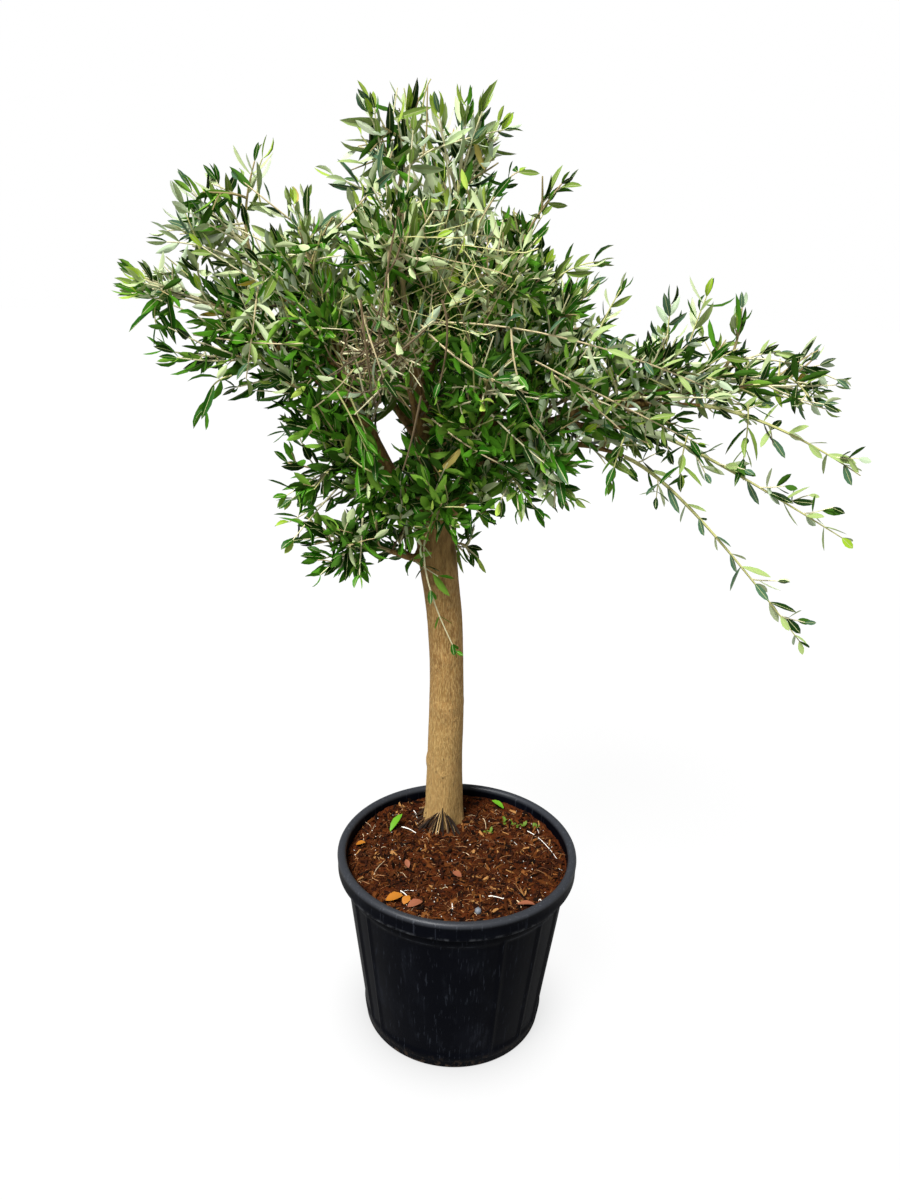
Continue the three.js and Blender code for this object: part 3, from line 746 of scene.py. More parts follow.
def in_box(point):
    """True inside the box of the solids"""
    return all(low < part < high for low, part, high in zip(BOX_LOW, point, BOX_HIGH))


def holds(mass, point, share=1.0):
    """True where a point lies in the mass's own space, or in a share of it, and in the box of the solids"""
    if not in_box(point):
        return False
    if mass.slim:
        return any((point - middle).length < share * mass.space for middle in mass.line)
    offset = point - mass.heart
    inside = in_oval(offset, mass.reach) < share * share
    if not inside and (point - mass.end).length > TIP_SPACE + 0.003:
        return False
    return all(offset.dot(normal) < limit for normal, limit in mass.planes)


def in_crown(point):
    """True inside the reach of any mass, in the box of the solids and outside the sky gap"""
    if in_sky_gap(point) or not in_box(point):
        return False
    return any(not mass.slim and in_oval(point - mass.heart, mass.reach) < 1 for mass in MASSES)


# Growth. Twigs are gathered as a curve, its radii, its colour and its steps, and leaves as a place, three
# axes, a shape and a colour. Both are made into meshes afterwards.
twigs = []
leaves = {mass.name: [] for mass in MASSES}


def spray_colour(mass, point):
    """A spray's colour: deep green low on the left and in the middle, grey-green above and on the right"""
    low = smooth((DEEP_BELOW - point.z) / DEEP_FADE) * smooth((DEEP_LEFT_OF - point.x) / DEEP_SIDE_FADE)
    draw = mass.random.random()
    if mass.random.random() < DEEP_SPRAYS * low:
        return "deep" if draw < DEEPEST else "fresh"
    if point.x > RIGHT_SIDE:
        draw = RIGHT_LEAST + RIGHT_SPAN * draw
    if draw < SILVER_SHARE * smooth((point.z - SILVER_ABOVE) / SILVER_FADE):
        return "olive" if mass.fine else "silver"
    if draw < (FINE_GREY_LIMIT if mass.fine else GREY_LIMIT):
        return "grey"
    return "olive" if draw < OLIVE_LIMIT else "fresh"


def leaf_colour(mass, spray, share, depth):
    """A leaf's colour: its spray's, dark with painted shade inside the mass, younger at the end, now and
    then yellowed
    """
    shade = SHADY if mass.heart.z < SHADY_CROWN else LESS_SHADY
    # Painted shade: the deeper inside the mass, the more often the dark shaded tone
    if mass.random.random() < max(mass.least_shade, shade * (SHADE_DEPTH - depth)):
        return "shaded"
    draw = mass.random.random()
    if draw < YELLOWED_SHARE:
        return "yellowed"
    if share > SPRAY_END and draw < mass.young_tips:
        return "young"
    return BESIDE[spray] if draw > (OWN_TONE_RIGHT if mass.right else OWN_TONE) else spray


def add_leaf(mass, curve, share, turn, angle, size, spray):
    """One leaf, turned a little to the light, and none where it would leave its space or touch a limb"""
    lift = mass.random.uniform(*LEAF_LIFT)
    if mass.heart.x > FAR_RIGHT and not mass.slim:
        lift += FAR_RIGHT_LIFT
    heading = (curve.branching(share, turn, angle) + UP * lift).normalized()
    face = curve.branching(share, turn, angle + math.pi / 2)
    face = face.lerp(UP, mass.random.uniform(*LEAF_TO_SKY))
    face += curve.sideways(share, turn + math.pi / 2) * mass.random.uniform(*LEAF_LEAN)
    across = heading.cross(face).normalized()
    face = across.cross(heading)
    if mass.fine:
        size *= FINE_SIZE
    if mass.name in LONG_LEAVED:
        size *= LONG_SIZE
    length = LEAF_LENGTH * size
    root = curve.at(share)
    middle, end = root + heading * length * 0.5, root + heading * length
    if in_sky_gap(middle) or not holds(mass, middle) or not holds(mass, end):
        return
    if not clear_of_limbs(middle, LEAF_CLEARANCE) or not clear_of_limbs(end, LEAF_CLEARANCE):
        return
    width = LEAF_WIDTH * (0.45 + 0.55 * size) * mass.random.uniform(*LEAF_WIDTHS)
    short = mass.slim and mass.space == SHOOT_SPACE
    shape = "short" if short else mass.random.choice(LONG_SHAPES)
    if short or mass.heart.z < LOW_CROWN:
        width *= BROAD
    depth = 1.0 if mass.slim else in_oval(root - mass.heart, mass.reach) ** 0.5
    colour = leaf_colour(mass, spray, share, depth)
    if twiggy(middle) and mass.random.random() > TWIGGY_LEAVES:
        return
    leaves[mass.name].append((root, across * width, heading * length, face * length, shape, colour))


def twiggy(point):
    """True where brown twigs show with few leaves"""
    return in_oval(point - TWIGGY_HEART, TWIGGY_REACH) < 1


def leafy(mass, curve, first, size, spray, internode=INTERNODE):
    """Opposite pairs of leaves along a curve, each pair about a quarter turn on, and two at its end"""
    turn = mass.random.uniform(0, math.pi)
    place = first * curve.length
    while place < curve.length - 0.004:
        share = place / curve.length
        grown = size * mass.random.uniform(*PAIR_SIZES) * mix(1.0, TIP_SIZE, share**4)
        for side in (0, math.pi):
            angle = math.radians(mass.random.uniform(*PAIR_ANGLES) - CLOSING * share)
            if mass.random.random() > FALLEN_SHARE:
                add_leaf(mass, curve, share, turn + side, angle, grown, spray)
        turn += math.pi / 2 + mass.random.uniform(-PAIR_TURN, PAIR_TURN)
        place += internode * mass.random.uniform(*PAIR_SPACING)
    for side in (0, math.pi):
        angle = math.radians(mass.random.uniform(*END_ANGLES))
        add_leaf(mass, curve, 0.999, turn + side, angle, END_SIZE * size, spray)


def free_length(mass, start, heading, longest, room):
    """How far a twig can run before it leaves a share of the mass's space or meets a limb"""
    step = 0.01
    length = 0.02
    while length < longest:
        point = start + heading * length
        if in_sky_gap(point) or not holds(mass, point, room) or not clear_of_limbs(point, LIMB_CLEARANCE):
            break
        length += step
    return length - step


def branch(mass, parent, share, spread, longest, shortest, room=1.0):
    """A twig or spray from a curve, the longest and most upright of some directions by the golden angle"""
    start = parent.at(share)
    best = None
    for _ in range(BRANCH_TRIES):
        mass.turn += GOLDEN_ANGLE
        heading = parent.branching(share, mass.turn, math.radians(mass.random.uniform(*spread)))
        free = free_length(mass, start, heading, longest + 0.5 * LEAF_LENGTH, room)
        length = min(longest, free - 0.35 * LEAF_LENGTH)
        score = length * (1 + UPRIGHT * heading.z)
        if length > shortest and (best is None or score > best[0]):
            best = (score, heading, length)
        if best and mass.random.random() < ENOUGH:
            break
    if best is None:
        return None
    _, heading, length = best
    end = start + heading * length + UP * mass.random.uniform(*TWIG_RISE) * length
    bend = heading.lerp(parent.ahead(share), 0.3)
    return Curve(start, start + bend * 0.33 * length, end - heading * 0.33 * length, end, 8)


def grow_twig(mass, twig, habit):
    """A leafy twig and the leafy sprays that branch from it"""
    draw = mass.random
    spray = spray_colour(mass, twig.at(1))
    twigs.append((twig, TWIG_RADIUS, draw.choice(habit["kinds"]), TWIG_STEPS))
    leafy(mass, twig, draw.uniform(*habit["bare"]), 1.0, spray)
    knot = draw.uniform(*habit["knots"])
    while knot < 0.9 and twig.length > BRANCHED_TWIG:
        side = branch(mass, twig, knot, SPRAY_SPREAD, habit["longest"], SHORTEST_SPRAY, SPRAY_ROOM)
        knot += habit["apart"] / twig.length * draw.uniform(0.7, 1.3)
        if side:
            twigs.append((side, SPRAY_RADIUS, draw.choice(habit["spray_kinds"]), SPRAY_STEPS))
            leafy(mass, side, habit["spray_bare"], SPRAY_SIZE, spray)


def stem_spacing(mass):
    """How far apart the twigs stand on a mass's stem: close low down, wide on the right and at the rim"""
    if mass.heart.x < FAR_LEFT or mass.heart.z > HIGH_CROWN:
        return STEM_SPACING["rim"]
    if mass.heart.z < LOW_CROWN:
        return STEM_SPACING["low"]
    return STEM_SPACING["right" if mass.right else "middle"]


def bough_spacing(mass):
    """How far apart the twigs stand on a mass's bough"""
    if mass.name == "left":
        return BOUGH_SPACING["left"]
    return BOUGH_SPACING["right" if mass.right else "middle"]


def grow_mass(mass):
    """The stem, twigs that branch from it, sprays that branch from them, and leaves on all three"""
    draw = mass.random
    shade = spray_colour(mass, mass.heart)
    twigs.append((mass.stem, STEM_RADIUS, "grown", STEM_STEPS))
    leafy(mass, mass.stem, first=0.50, size=0.80, spray=shade)
    place = STEM_FIRST
    while place < STEM_LAST:
        longest = LONGEST_TWIG * draw.uniform(0.55, 1.0)
        twig = branch(mass, mass.stem, place, STEM_SPREAD, longest, SHORTEST_TWIG)
        place += CLOSENESS * stem_spacing(mass) / mass.stem.length * draw.uniform(0.75, 1.25)
        if twig:
            grow_twig(mass, twig, STEM_HABIT)


def shoot_space(mass, line, space):
    """A mass of the same name whose space is the room round a line"""
    own = Mass(mass.name, mass.bough, mass.heart, None, mass.tip)
    own.line, own.space = line, space
    return own


def dress_bough(mass):
    """Leafy twigs along the outer part of a bough, in a space round it"""
    first = BARE_SHARE.get(mass.name, USUAL_BARE)
    own = shoot_space(mass, mass.limb.along(24, first), DRESSED_RADIUS.get(mass.name, USUAL_DRESSED))
    place = first
    while place < 1.0:
        twig = branch(own, mass.limb, place, BOUGH_SPREAD, own.space, SHORTEST_TWIG)
        place += bough_spacing(mass) / mass.limb.length * own.random.uniform(0.7, 1.3)
        if twig:
            grow_twig(own, twig, BOUGH_HABIT)


def grow_hanging_shoot(mass):
    """The thin shoot in front of the trunk, nearly bare"""
    twigs.append((mass.stem, HANGING_RADIUS, "pale", SHOOT_STEPS))
    leafy(mass, mass.stem, first=0.35, size=0.50, spray="deep", internode=0.060)


def grow_shoot(mass):
    """A long slim shoot with short leaves, and a few short side shoots"""
    draw = mass.random
    twigs.append((mass.stem, SHOOT_RADIUS, "green", SHOOT_STEPS))
    leafy(mass, mass.stem, first=0.10, size=0.80, spray="grey", internode=0.042)
    place = 0.05
    while place < 0.9:
        side = branch(mass, mass.stem, place, spread=(30, 60), longest=0.055, shortest=0.010)
        place += 0.045 / mass.stem.length * draw.uniform(0.7, 1.3)
        if side and draw.random() < SIDE_SHOOTS:
            twigs.append((side, SPRAY_RADIUS, "pale", SPRAY_STEPS))
            leafy(mass, side, first=0.3, size=0.66, spray="grey", internode=0.018)


def grow_runners():
    """Long pale shoots that run out through the crown, with few leaves"""
    draw = random.Random(SEED + 6)
    full = [mass for mass in MASSES if not mass.slim]
    for _ in range(RUNNERS):
        mass = draw.choice(full)
        start = mass.stem.at(draw.uniform(0.0, 0.6))
        aside = Vector([draw.gauss(0, 0.55) for _ in range(3)])
        heading = ((start - CROWN_MIDDLE).normalized() + aside).normalized()
        length = 0.02
        while length < LONGEST_RUNNER:
            point = start + heading * (length + 0.01)
            if not in_crown(point) or not clear_of_limbs(point, 0.004) and length > 0.03:
                break
            length += 0.01
        if length < SHORTEST_RUNNER:
            continue
        end = start + heading * length
        sag = UP * draw.uniform(-0.12, 0.08) * length
        runner = Curve(start, start.lerp(end, 0.33) - sag, start.lerp(end, 0.67) - sag, end, 8)
        own = shoot_space(mass, runner.along(12), RUNNER_SPACE)
        own.random = draw
        twigs.append((runner, RUNNER_RADIUS, "pale", FINE_STEPS))
        first, spray = draw.uniform(0.4, 0.75), spray_colour(own, end)
        leafy(own, runner, first, 0.85, spray, draw.uniform(0.026, 0.045))


def grow_single(rows, setback, radii, colour, first, size, internode, seed):
    """Single shoots, each along its own three points, set back into the crown and their starts more so"""
    draw = random.Random(seed)
    for row in rows:
        start, middle, end = (Vector(point) + Vector((0, setback, 0)) for point in row)
        start.y += 3 * setback
        bow = 2 * middle - (start + end) / 2
        shoot = Curve(start, start.lerp(bow, 0.67), end.lerp(bow, 0.67), end, 14)
        full = [mass for mass in MASSES if not mass.slim]
        mass = min(full, key=lambda mass: (mass.heart - middle).length)
        own = shoot_space(mass, shoot.along(20), SINGLE_SPACE)
        own.random = draw
        twigs.append((shoot, radii, colour, SINGLE_STEPS))
        leafy(own, shoot, first, size, spray_colour(own, middle), internode)


def grow_tangle(heart, reach, count, stretch, crooked, thickness, colours, seed):
    """Fine crooked twigs, bare, through an oval space"""
    draw = random.Random(seed)

    def place():
        while True:
            spot = Vector([draw.uniform(-1, 1) for _ in range(3)])
            if spot.length < 1:
                return heart + Vector(part * radius for part, radius in zip(spot, reach))

    for _ in range(count):
        start, end = place(), place()
        end = start.lerp(end, stretch)
        crook = Vector([draw.gauss(0, crooked) for _ in range(3)])
        curve = Curve(start, start.lerp(end, 0.33) + crook, start.lerp(end, 0.67) - crook, end, 8)
        if not any(in_sky_gap(point) for point in curve.along(8)):
            radius = draw.uniform(*thickness)
            twigs.append((curve, (radius, 0.6 * radius), draw.choice(colours), FINE_STEPS))


def grow_plant():
    """All twigs and leaves, from the twiggy middle outwards"""
    grow_tangle(TWIGGY_HEART, TWIGGY_REACH, count=95, stretch=1.2, crooked=0.014,
                thickness=(0.0009, 0.0020), colours=TWIGGY_KINDS, seed=SEED + 5)
    for mass in MASSES:
        if not mass.slim:
            grow_mass(mass)
        elif mass.bough.radius:
            grow_shoot(mass)
        else:
            grow_hanging_shoot(mass)
        if mass.bough.radius:
            dress_bough(mass)
    grow_runners()
    grow_tangle(PALE_HEART, PALE_REACH, count=55, stretch=0.9, crooked=0.022,
                thickness=(0.0007, 0.0012), colours=PALE_KINDS, seed=SEED + 10)
    grow_single(CROSSING, setback=0.022, radii=(0.0017, 0.0010), colour="runner",
                first=0.1, size=0.85, internode=0.036, seed=SEED + 7)
    grow_single(BROWN_TWIGS, setback=0.0, radii=(0.0019, 0.0012), colour="old",
                first=0.6, size=0.6, internode=0.050, seed=SEED + 9)
    grow_single(SPRAYS, setback=0.0, radii=SPRAY_RADIUS, colour="green",
                first=0.25, size=0.95, internode=0.0165, seed=SEED + 8)


# Shading helpers


def plug(tree, socket, value):
    """A socket linked to another socket, or set to a value"""
    if isinstance(value, bpy.types.NodeSocket):
        tree.links.new(value, socket)
    else:
        socket.default_value = value


def node(tree, kind, inputs=None, **settings):
    """A shader node with its settings, and with its inputs set or linked"""
    made = tree.nodes.new(kind)
    for name, value in settings.items():
        setattr(made, name, value)
    for name, value in (inputs or {}).items():
        plug(tree, made.inputs[name], value)
    return made


def effect(name, inputs, outputs):
    """An empty node group with named inputs, as (name, type, default), and outputs, as (name, type)"""
    group = bpy.data.node_groups.new(name, "ShaderNodeTree")
    for label, kind, default in inputs:
        socket = group.interface.new_socket(label, in_out="INPUT", socket_type=kind)
        if default is not None:
            socket.default_value = default
    for label, kind in outputs:
        group.interface.new_socket(label, in_out="OUTPUT", socket_type=kind)
    return group, group.nodes.new("NodeGroupInput"), group.nodes.new("NodeGroupOutput")


def colour_mix(tree, share, low, high):
    """Two colours mixed by a mask"""
    return node(tree, "ShaderNodeMix", {0: share, 6: low, 7: high}, data_type="RGBA").outputs[2]


def times(tree, first, second):
    return node(tree, "ShaderNodeMath", {0: first, 1: second}, operation="MULTIPLY").outputs[0]


def plus(tree, first, second):
    return node(tree, "ShaderNodeMath", {0: first, 1: second}, operation="ADD").outputs[0]


def stained(tree, colour, mask, share, code):
    """A colour with another laid over it by a mask, up to a share"""
    return colour_mix(tree, times(tree, mask, share), colour, tone(code))


def ranged(tree, value, low, high, to_low=0.0, to_high=1.0):
    """A value taken from one range to another, smoothly and held at the ends"""
    made = node(tree, "ShaderNodeMapRange", {"Value": value, "From Min": low, "From Max": high,
                "To Min": to_low, "To Max": to_high}, interpolation_type="SMOOTHSTEP")
    return made.outputs["Result"]


def band(tree, height, base, offsets):
    """The mask of a level band by heights over a base: where it starts, is full, wanes and ends"""
    start, full, wane, end = (base + offset for offset in offsets)
    return times(tree, ranged(tree, height, start, full), ranged(tree, height, end, wane))


def new_material(name, roughness=0.5, specular=0.5):
    """A material with a plain Principled shader, its node tree and that shader"""
    made = bpy.data.materials.new(name)
    made.use_nodes = True
    shader = made.node_tree.nodes["Principled BSDF"]
    shader.inputs["Roughness"].default_value = roughness
    shader.inputs["Specular IOR Level"].default_value = specular
    return made, made.node_tree, shader


def bump(tree, shader, height, strength, distance):
    made = node(tree, "ShaderNodeBump", {"Strength": strength, "Distance": distance, "Height": height})
    tree.links.new(made.outputs["Normal"], shader.inputs["Normal"])


def object_place(tree):
    return node(tree, "ShaderNodeTexCoord").outputs["Object"]


def grain_group():
    """Noise stretched along the height: Across and Along set how many features there are in a metre"""
    group, given, result = effect(
        "grain",
        [("Place", "NodeSocketVector", None),
         ("Across", "NodeSocketFloat", 100.0), ("Along", "NodeSocketFloat", 10.0),
         ("Low", "NodeSocketFloat", 0.4), ("High", "NodeSocketFloat", 0.6),
         ("Detail", "NodeSocketFloat", 4.0)],
        [("Mask", "NodeSocketFloat")])
    tree = group
    scale = node(tree, "ShaderNodeCombineXYZ", {"X": given.outputs["Across"], "Y": given.outputs["Across"],
                 "Z": given.outputs["Along"]})
    placed = node(tree, "ShaderNodeVectorMath", {0: given.outputs["Place"], 1: scale.outputs[0]},
                  operation="MULTIPLY")
    made = node(tree, "ShaderNodeTexNoise", {"Vector": placed.outputs[0], "Scale": 1.0,
                "Detail": given.outputs["Detail"], "Roughness": 0.6})
    mask = ranged(tree, made.outputs["Fac"], given.outputs["Low"], given.outputs["High"])
    tree.links.new(mask, result.inputs["Mask"])
    return group


GRAIN = grain_group()


def grain(tree, place, across, along, low, high, detail=4.0):
    """The grain's mask, faded in between two levels of its noise"""
    values = {"Place": place, "Across": across, "Along": along, "Low": low, "High": high, "Detail": detail}
    return node(tree, "ShaderNodeGroup", values, node_tree=GRAIN).outputs["Mask"]


def height_of(tree, place):
    return node(tree, "ShaderNodeSeparateXYZ", {"Vector": place}).outputs["Z"]


# Materials


def pot_plastic():
    """Satin black moulded plastic, dusty in streaks below the collar, scuffed, and worn pale at its edge"""
    made, tree, shader = new_material("pot_plastic", 0.5, 0.02)
    place = object_place(tree)
    height = height_of(tree, place)
    below = ranged(tree, height, COLLAR_FOOT + 0.002, COLLAR_FOOT - 0.002)
    streaks = times(tree, grain(tree, place, 95.0, 3.0, 0.52, 0.74), below)
    scratches = grain(tree, place, 230.0, 6.0, 0.62, 0.70, 2.0)
    blotches = grain(tree, place, 14.0, 9.0, 0.45, 0.75)
    dust = plus(tree, times(tree, streaks, blotches), times(tree, scratches, 0.8))
    # Painted highlight: a paler, patchy line along the top ledge of the panels
    ledge_highlight = band(tree, height, COLLAR_FOOT - PANEL_TOP, (-0.005, -0.002, -0.001, 0.002))
    ledge_highlight = times(tree, ledge_highlight, grain(tree, place, 30.0, 30.0, 0.40, 0.66))
    edge = band(tree, height, COLLAR_FOOT, (-0.001, 0.003, 0.004, 0.009))
    worn = times(tree, edge, grain(tree, place, 45.0, 45.0, 0.42, 0.62))
    # Painted highlight on the rim's top, a paler blue-grey, with some wear where the scratches add to it
    rim = ranged(tree, height, POT_HEIGHT - 0.012, POT_HEIGHT - 0.003)
    rim_highlight_and_wear = plus(tree, 0.45, times(tree, scratches, 0.5))
    earth = times(tree, ranged(tree, height, 0.035, 0.0), grain(tree, place, 90.0, 90.0, 0.5, 0.66))
    colour = colour_mix(tree, blotches, tone("04050a"), tone("090b11"))
    colour = stained(tree, colour, dust, 0.75, "262930")
    colour = stained(tree, colour, ledge_highlight, 0.5, "3c4047")
    colour = stained(tree, colour, worn, 0.22, "6d7074")
    colour = stained(tree, colour, rim, rim_highlight_and_wear, "44474d")
    colour = stained(tree, colour, earth, 0.55, "4b3d31")
    plug(tree, shader.inputs["Base Color"], colour)
    plug(tree, shader.inputs["Roughness"], ranged(tree, dust, 0.0, 1.0, 0.42, 0.70))
    plug(tree, shader.inputs["Specular IOR Level"], plus(tree, 0.02, times(tree, rim, 0.22)))
    bump(tree, shader, plus(tree, streaks, scratches), 0.12, 0.0006)
    return made


def compost():
    """Dark red-brown bark compost"""
    made, tree, shader = new_material("compost", 0.95, 0.08)
    place = object_place(tree)
    crumbs = grain(tree, place, 190.0, 190.0, 0.38, 0.66)
    patches = grain(tree, place, 28.0, 28.0, 0.36, 0.66)
    specks = grain(tree, place, 520.0, 520.0, 0.56, 0.70, 2.0)
    colour = colour_mix(tree, crumbs, tone("1e0a02"), tone("4c2008"))
    colour = stained(tree, colour, patches, 0.55, "5c2a0c")
    colour = stained(tree, colour, specks, 0.35, "8a5a38")
    plug(tree, shader.inputs["Base Color"], colour)
    bump(tree, shader, crumbs, 0.7, 0.003)
    return made


def bark():
    """Tan bark with fine upright streaks, dark knots and a browner upper trunk and boughs"""
    made, tree, shader = new_material("bark", 0.82, 0.3)
    place = object_place(tree)
    height = height_of(tree, place)
    streaks = grain(tree, place, 130.0, 24.0, 0.36, 0.66)
    fine = grain(tree, place, 430.0, 95.0, 0.42, 0.62, 3.0)
    clouds = grain(tree, place, 30.0, 14.0, 0.38, 0.66)
    cracks = grain(tree, place, 260.0, 42.0, 0.64, 0.70, 3.0)
    knots = grain(tree, place, 62.0, 40.0, 0.735, 0.765, 1.5)
    seams = grain(tree, place, 350.0, 60.0, 0.55, 0.66, 3.0)
    foot = ranged(tree, height, SOIL_TOP + 0.045, SOIL_TOP - 0.005)
    foot = times(tree, foot, grain(tree, place, 95.0, 25.0, 0.42, 0.6))
    # Darker, browner bark from just below the fork up and on the boughs
    upper_bark = colour_mix(tree, streaks, tone("6b5226"), tone("8f7140"))
    upper_share = times(tree, ranged(tree, height, 0.84, 1.08), 0.85)
    colour = colour_mix(tree, streaks, tone("896535"), tone("a37b47"))
    colour = stained(tree, colour, clouds, 0.6, "94723c")
    colour = stained(tree, colour, fine, 0.62, "c8a86c")
    colour = stained(tree, colour, seams, 0.70, "76562c")
    colour = stained(tree, colour, ranged(tree, height, 0.80, 0.42), 0.35, "b3965f")
    colour = colour_mix(tree, upper_share, colour, upper_bark)
    colour = stained(tree, colour, cracks, 0.7, "5f4a2c")
    colour = stained(tree, colour, knots, 0.85, "3a2a18")
    colour = stained(tree, colour, foot, 0.7, "4a3522")
    plug(tree, shader.inputs["Base Color"], colour)
    relief = plus(tree, plus(tree, streaks, times(tree, fine, 0.5)), times(tree, cracks, -1.4))
    bump(tree, shader, relief, 0.7, 0.0014)
    return made


def plain(name, code, roughness=0.6, specular=0.4):
    """A plain finish for small things that are dealt their colours piece by piece"""
    made, _, shader = new_material(name, roughness, specular)
    shader.inputs["Base Color"].default_value = tone(code)
    return made


def finishes_of(stem, codes, roughness, specular):
    """Plain finishes in a row, one for each tone"""
    return [plain(f"{stem}_{number}", code, roughness, specular) for number, code in enumerate(codes)]


# Pot


def wall_radius(height):
    share = (height - FOOT_HEIGHT) / (COLLAR_FOOT - FOOT_HEIGHT)
    return mix(FOOT_RADIUS + 0.002, WALL_TOP_RADIUS, share)


def arc(centre, radius, first, last, steps):
    """Points of an arc in the profile's plane, by angles in degrees"""
    for step in range(steps + 1):
        angle = math.radians(mix(first, last, step / steps))
        yield centre[0] + radius * math.cos(angle), centre[1] + radius * math.sin(angle)


def pot_profile():
    """The pot's section from the middle of its underside, over the rim, to the middle of its floor"""
    points = [(0.0, 0.0), (0.06, 0.0), (0.12, 0.0), (0.17, 0.0)]
    points += arc((FOOT_RADIUS - FOOT_ROUND, FOOT_ROUND), FOOT_ROUND, -90, 0, 3)
    points += [(FOOT_RADIUS, FOOT_HEIGHT - 0.001), (FOOT_RADIUS + 0.0017, FOOT_HEIGHT + 0.002)]
    low, high = FOOT_HEIGHT + 0.004, COLLAR_FOOT - 0.002
    heights = [mix(low, high, row / WALL_ROWS) for row in range(WALL_ROWS + 1)]
    points += [(wall_radius(height), height) for height in heights]
    points += [(WALL_TOP_RADIUS + 0.001, COLLAR_FOOT)]
    points += arc((RIM_RADIUS - 0.001 - COLLAR_ROUND, COLLAR_FOOT + COLLAR_ROUND), COLLAR_ROUND, -90, 0, 4)
    points += [(RIM_RADIUS - 0.001, COLLAR_FOOT + 0.014), (RIM_RADIUS - 0.0015, COLLAR_FOOT + 0.022)]
    points += arc((RIM_RADIUS - RIM_ROUND, POT_HEIGHT - RIM_ROUND), RIM_ROUND, -12, 170, 12)
    points += [(RIM_RADIUS - 0.0185, POT_HEIGHT - 0.018), (wall_radius(COLLAR_FOOT) - POT_WALL, COLLAR_FOOT)]
    points += [(wall_radius(height) - POT_WALL, height) for height in INNER_RINGS]
    points += [(wall_radius(POT_FLOOR) - POT_WALL, POT_FLOOR), (0.0, POT_FLOOR)]
    return points


def panelled(point):
    """How far the wall stands in or out at a point: wide shallow panels between slim upright ribs"""
    radius = math.hypot(point.x, point.y)
    top = COLLAR_FOOT - PANEL_TOP
    if radius < wall_radius(point.z) - 0.001 or not 0.03 < point.z < top + 0.004:
        return 0.0
    turn = math.atan2(point.y, point.x)
    inset = smooth((point.z - 0.034) / 0.004) * smooth((top - point.z) / 0.004)
    apart = min(abs(math.remainder(turn - angle, 2 * math.pi)) for angle in RIB_ANGLES) * radius
    rib = smooth(2 - apart / RIB_HALF_WIDTH)
    ripple = 0.0004 * noise.noise(Vector((math.cos(turn), math.sin(turn), point.z * 2)) * 3)
    return inset * (rib * (PANEL_DEPTH + RIB_HEIGHT) - PANEL_DEPTH) + ripple


def make_pot():
    bm = bmesh.new()
    verts = [bm.verts.new((radius, 0, height)) for radius, height in pot_profile()]
    edges = [bm.edges.new(pair) for pair in zip(verts, verts[1:])]
    bmesh.ops.spin(bm, geom=verts + edges, axis=UP, cent=(0, 0, 0), angle=2 * math.pi, steps=POT_STEPS,
                   use_merge=True)
    bmesh.ops.remove_doubles(bm, verts=bm.verts, dist=1e-6)
    for vert in bm.verts:
        out = Vector((vert.co.x, vert.co.y, 0)).normalized()
        vert.co += out * panelled(vert.co)
    bmesh.ops.recalc_face_normals(bm, faces=bm.faces)
    made = new_object("nursery_pot", mesh_of("nursery_pot", bm))
    made.data.materials.append(pot_plastic())
    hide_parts("pot")


# Soil and what lies on it


def soil_height(x, y):
    """The height of the loose compost at a place"""
    edge = smooth((math.hypot(x, y) - 0.15) / 0.08)
    heap = SOIL_HEAP * smooth((y + 0.05) / 0.25) * edge
    place = Vector((x, y, 0.0))
    rough = sum(high * noise.noise(place * per_metre) for high, per_metre in SOIL_ROUGHNESS)
    return SOIL_TOP + heap - SOIL_DIP * edge + rough


def make_soil():
    """A disc of compost, closed below by its sides and its underside"""
    bm = bmesh.new()
    bmesh.ops.create_grid(bm, x_segments=SOIL_MESH, y_segments=SOIL_MESH, size=1.0)
    top = wall_radius(SOIL_TOP) - POT_WALL - 0.0008
    for vert in bm.verts:
        x, y = vert.co.x, vert.co.y
        vert.co.x = top * x * math.sqrt(1 - y * y / 2)
        vert.co.y = top * y * math.sqrt(1 - x * x / 2)
        vert.co.z = min(soil_height(vert.co.x, vert.co.y), POT_HEIGHT - 0.02)
    border = [edge for edge in bm.edges if edge.is_boundary]
    skirt = bmesh.ops.extrude_edge_only(bm, edges=border)["geom"]
    low = POT_FLOOR + 0.001
    shrink = (wall_radius(low) - POT_WALL - 0.001) / top
    for vert in (part for part in skirt if isinstance(part, bmesh.types.BMVert)):
        vert.co = Vector((vert.co.x * shrink, vert.co.y * shrink, low))
    bmesh.ops.holes_fill(bm, edges=[edge for edge in bm.edges if edge.is_boundary])
    bmesh.ops.triangulate(bm, faces=[face for face in bm.faces if len(face.verts) > 4])
    bmesh.ops.recalc_face_normals(bm, faces=bm.faces)
    made = new_object("compost", mesh_of("compost", bm))
    made.data.materials.append(compost())
    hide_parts("soil")


def shape_arrays(bm):
    """A small shape's corners, its triangles and their material numbers"""
    bmesh.ops.triangulate(bm, faces=bm.faces)
    bm.verts.index_update()
    corners = np.array([vert.co[:] for vert in bm.verts])
    faces = np.array([[vert.index for vert in face.verts] for face in bm.faces])
    marks = np.array([face.material_index for face in bm.faces])
    bm.free()
    return corners, faces, marks


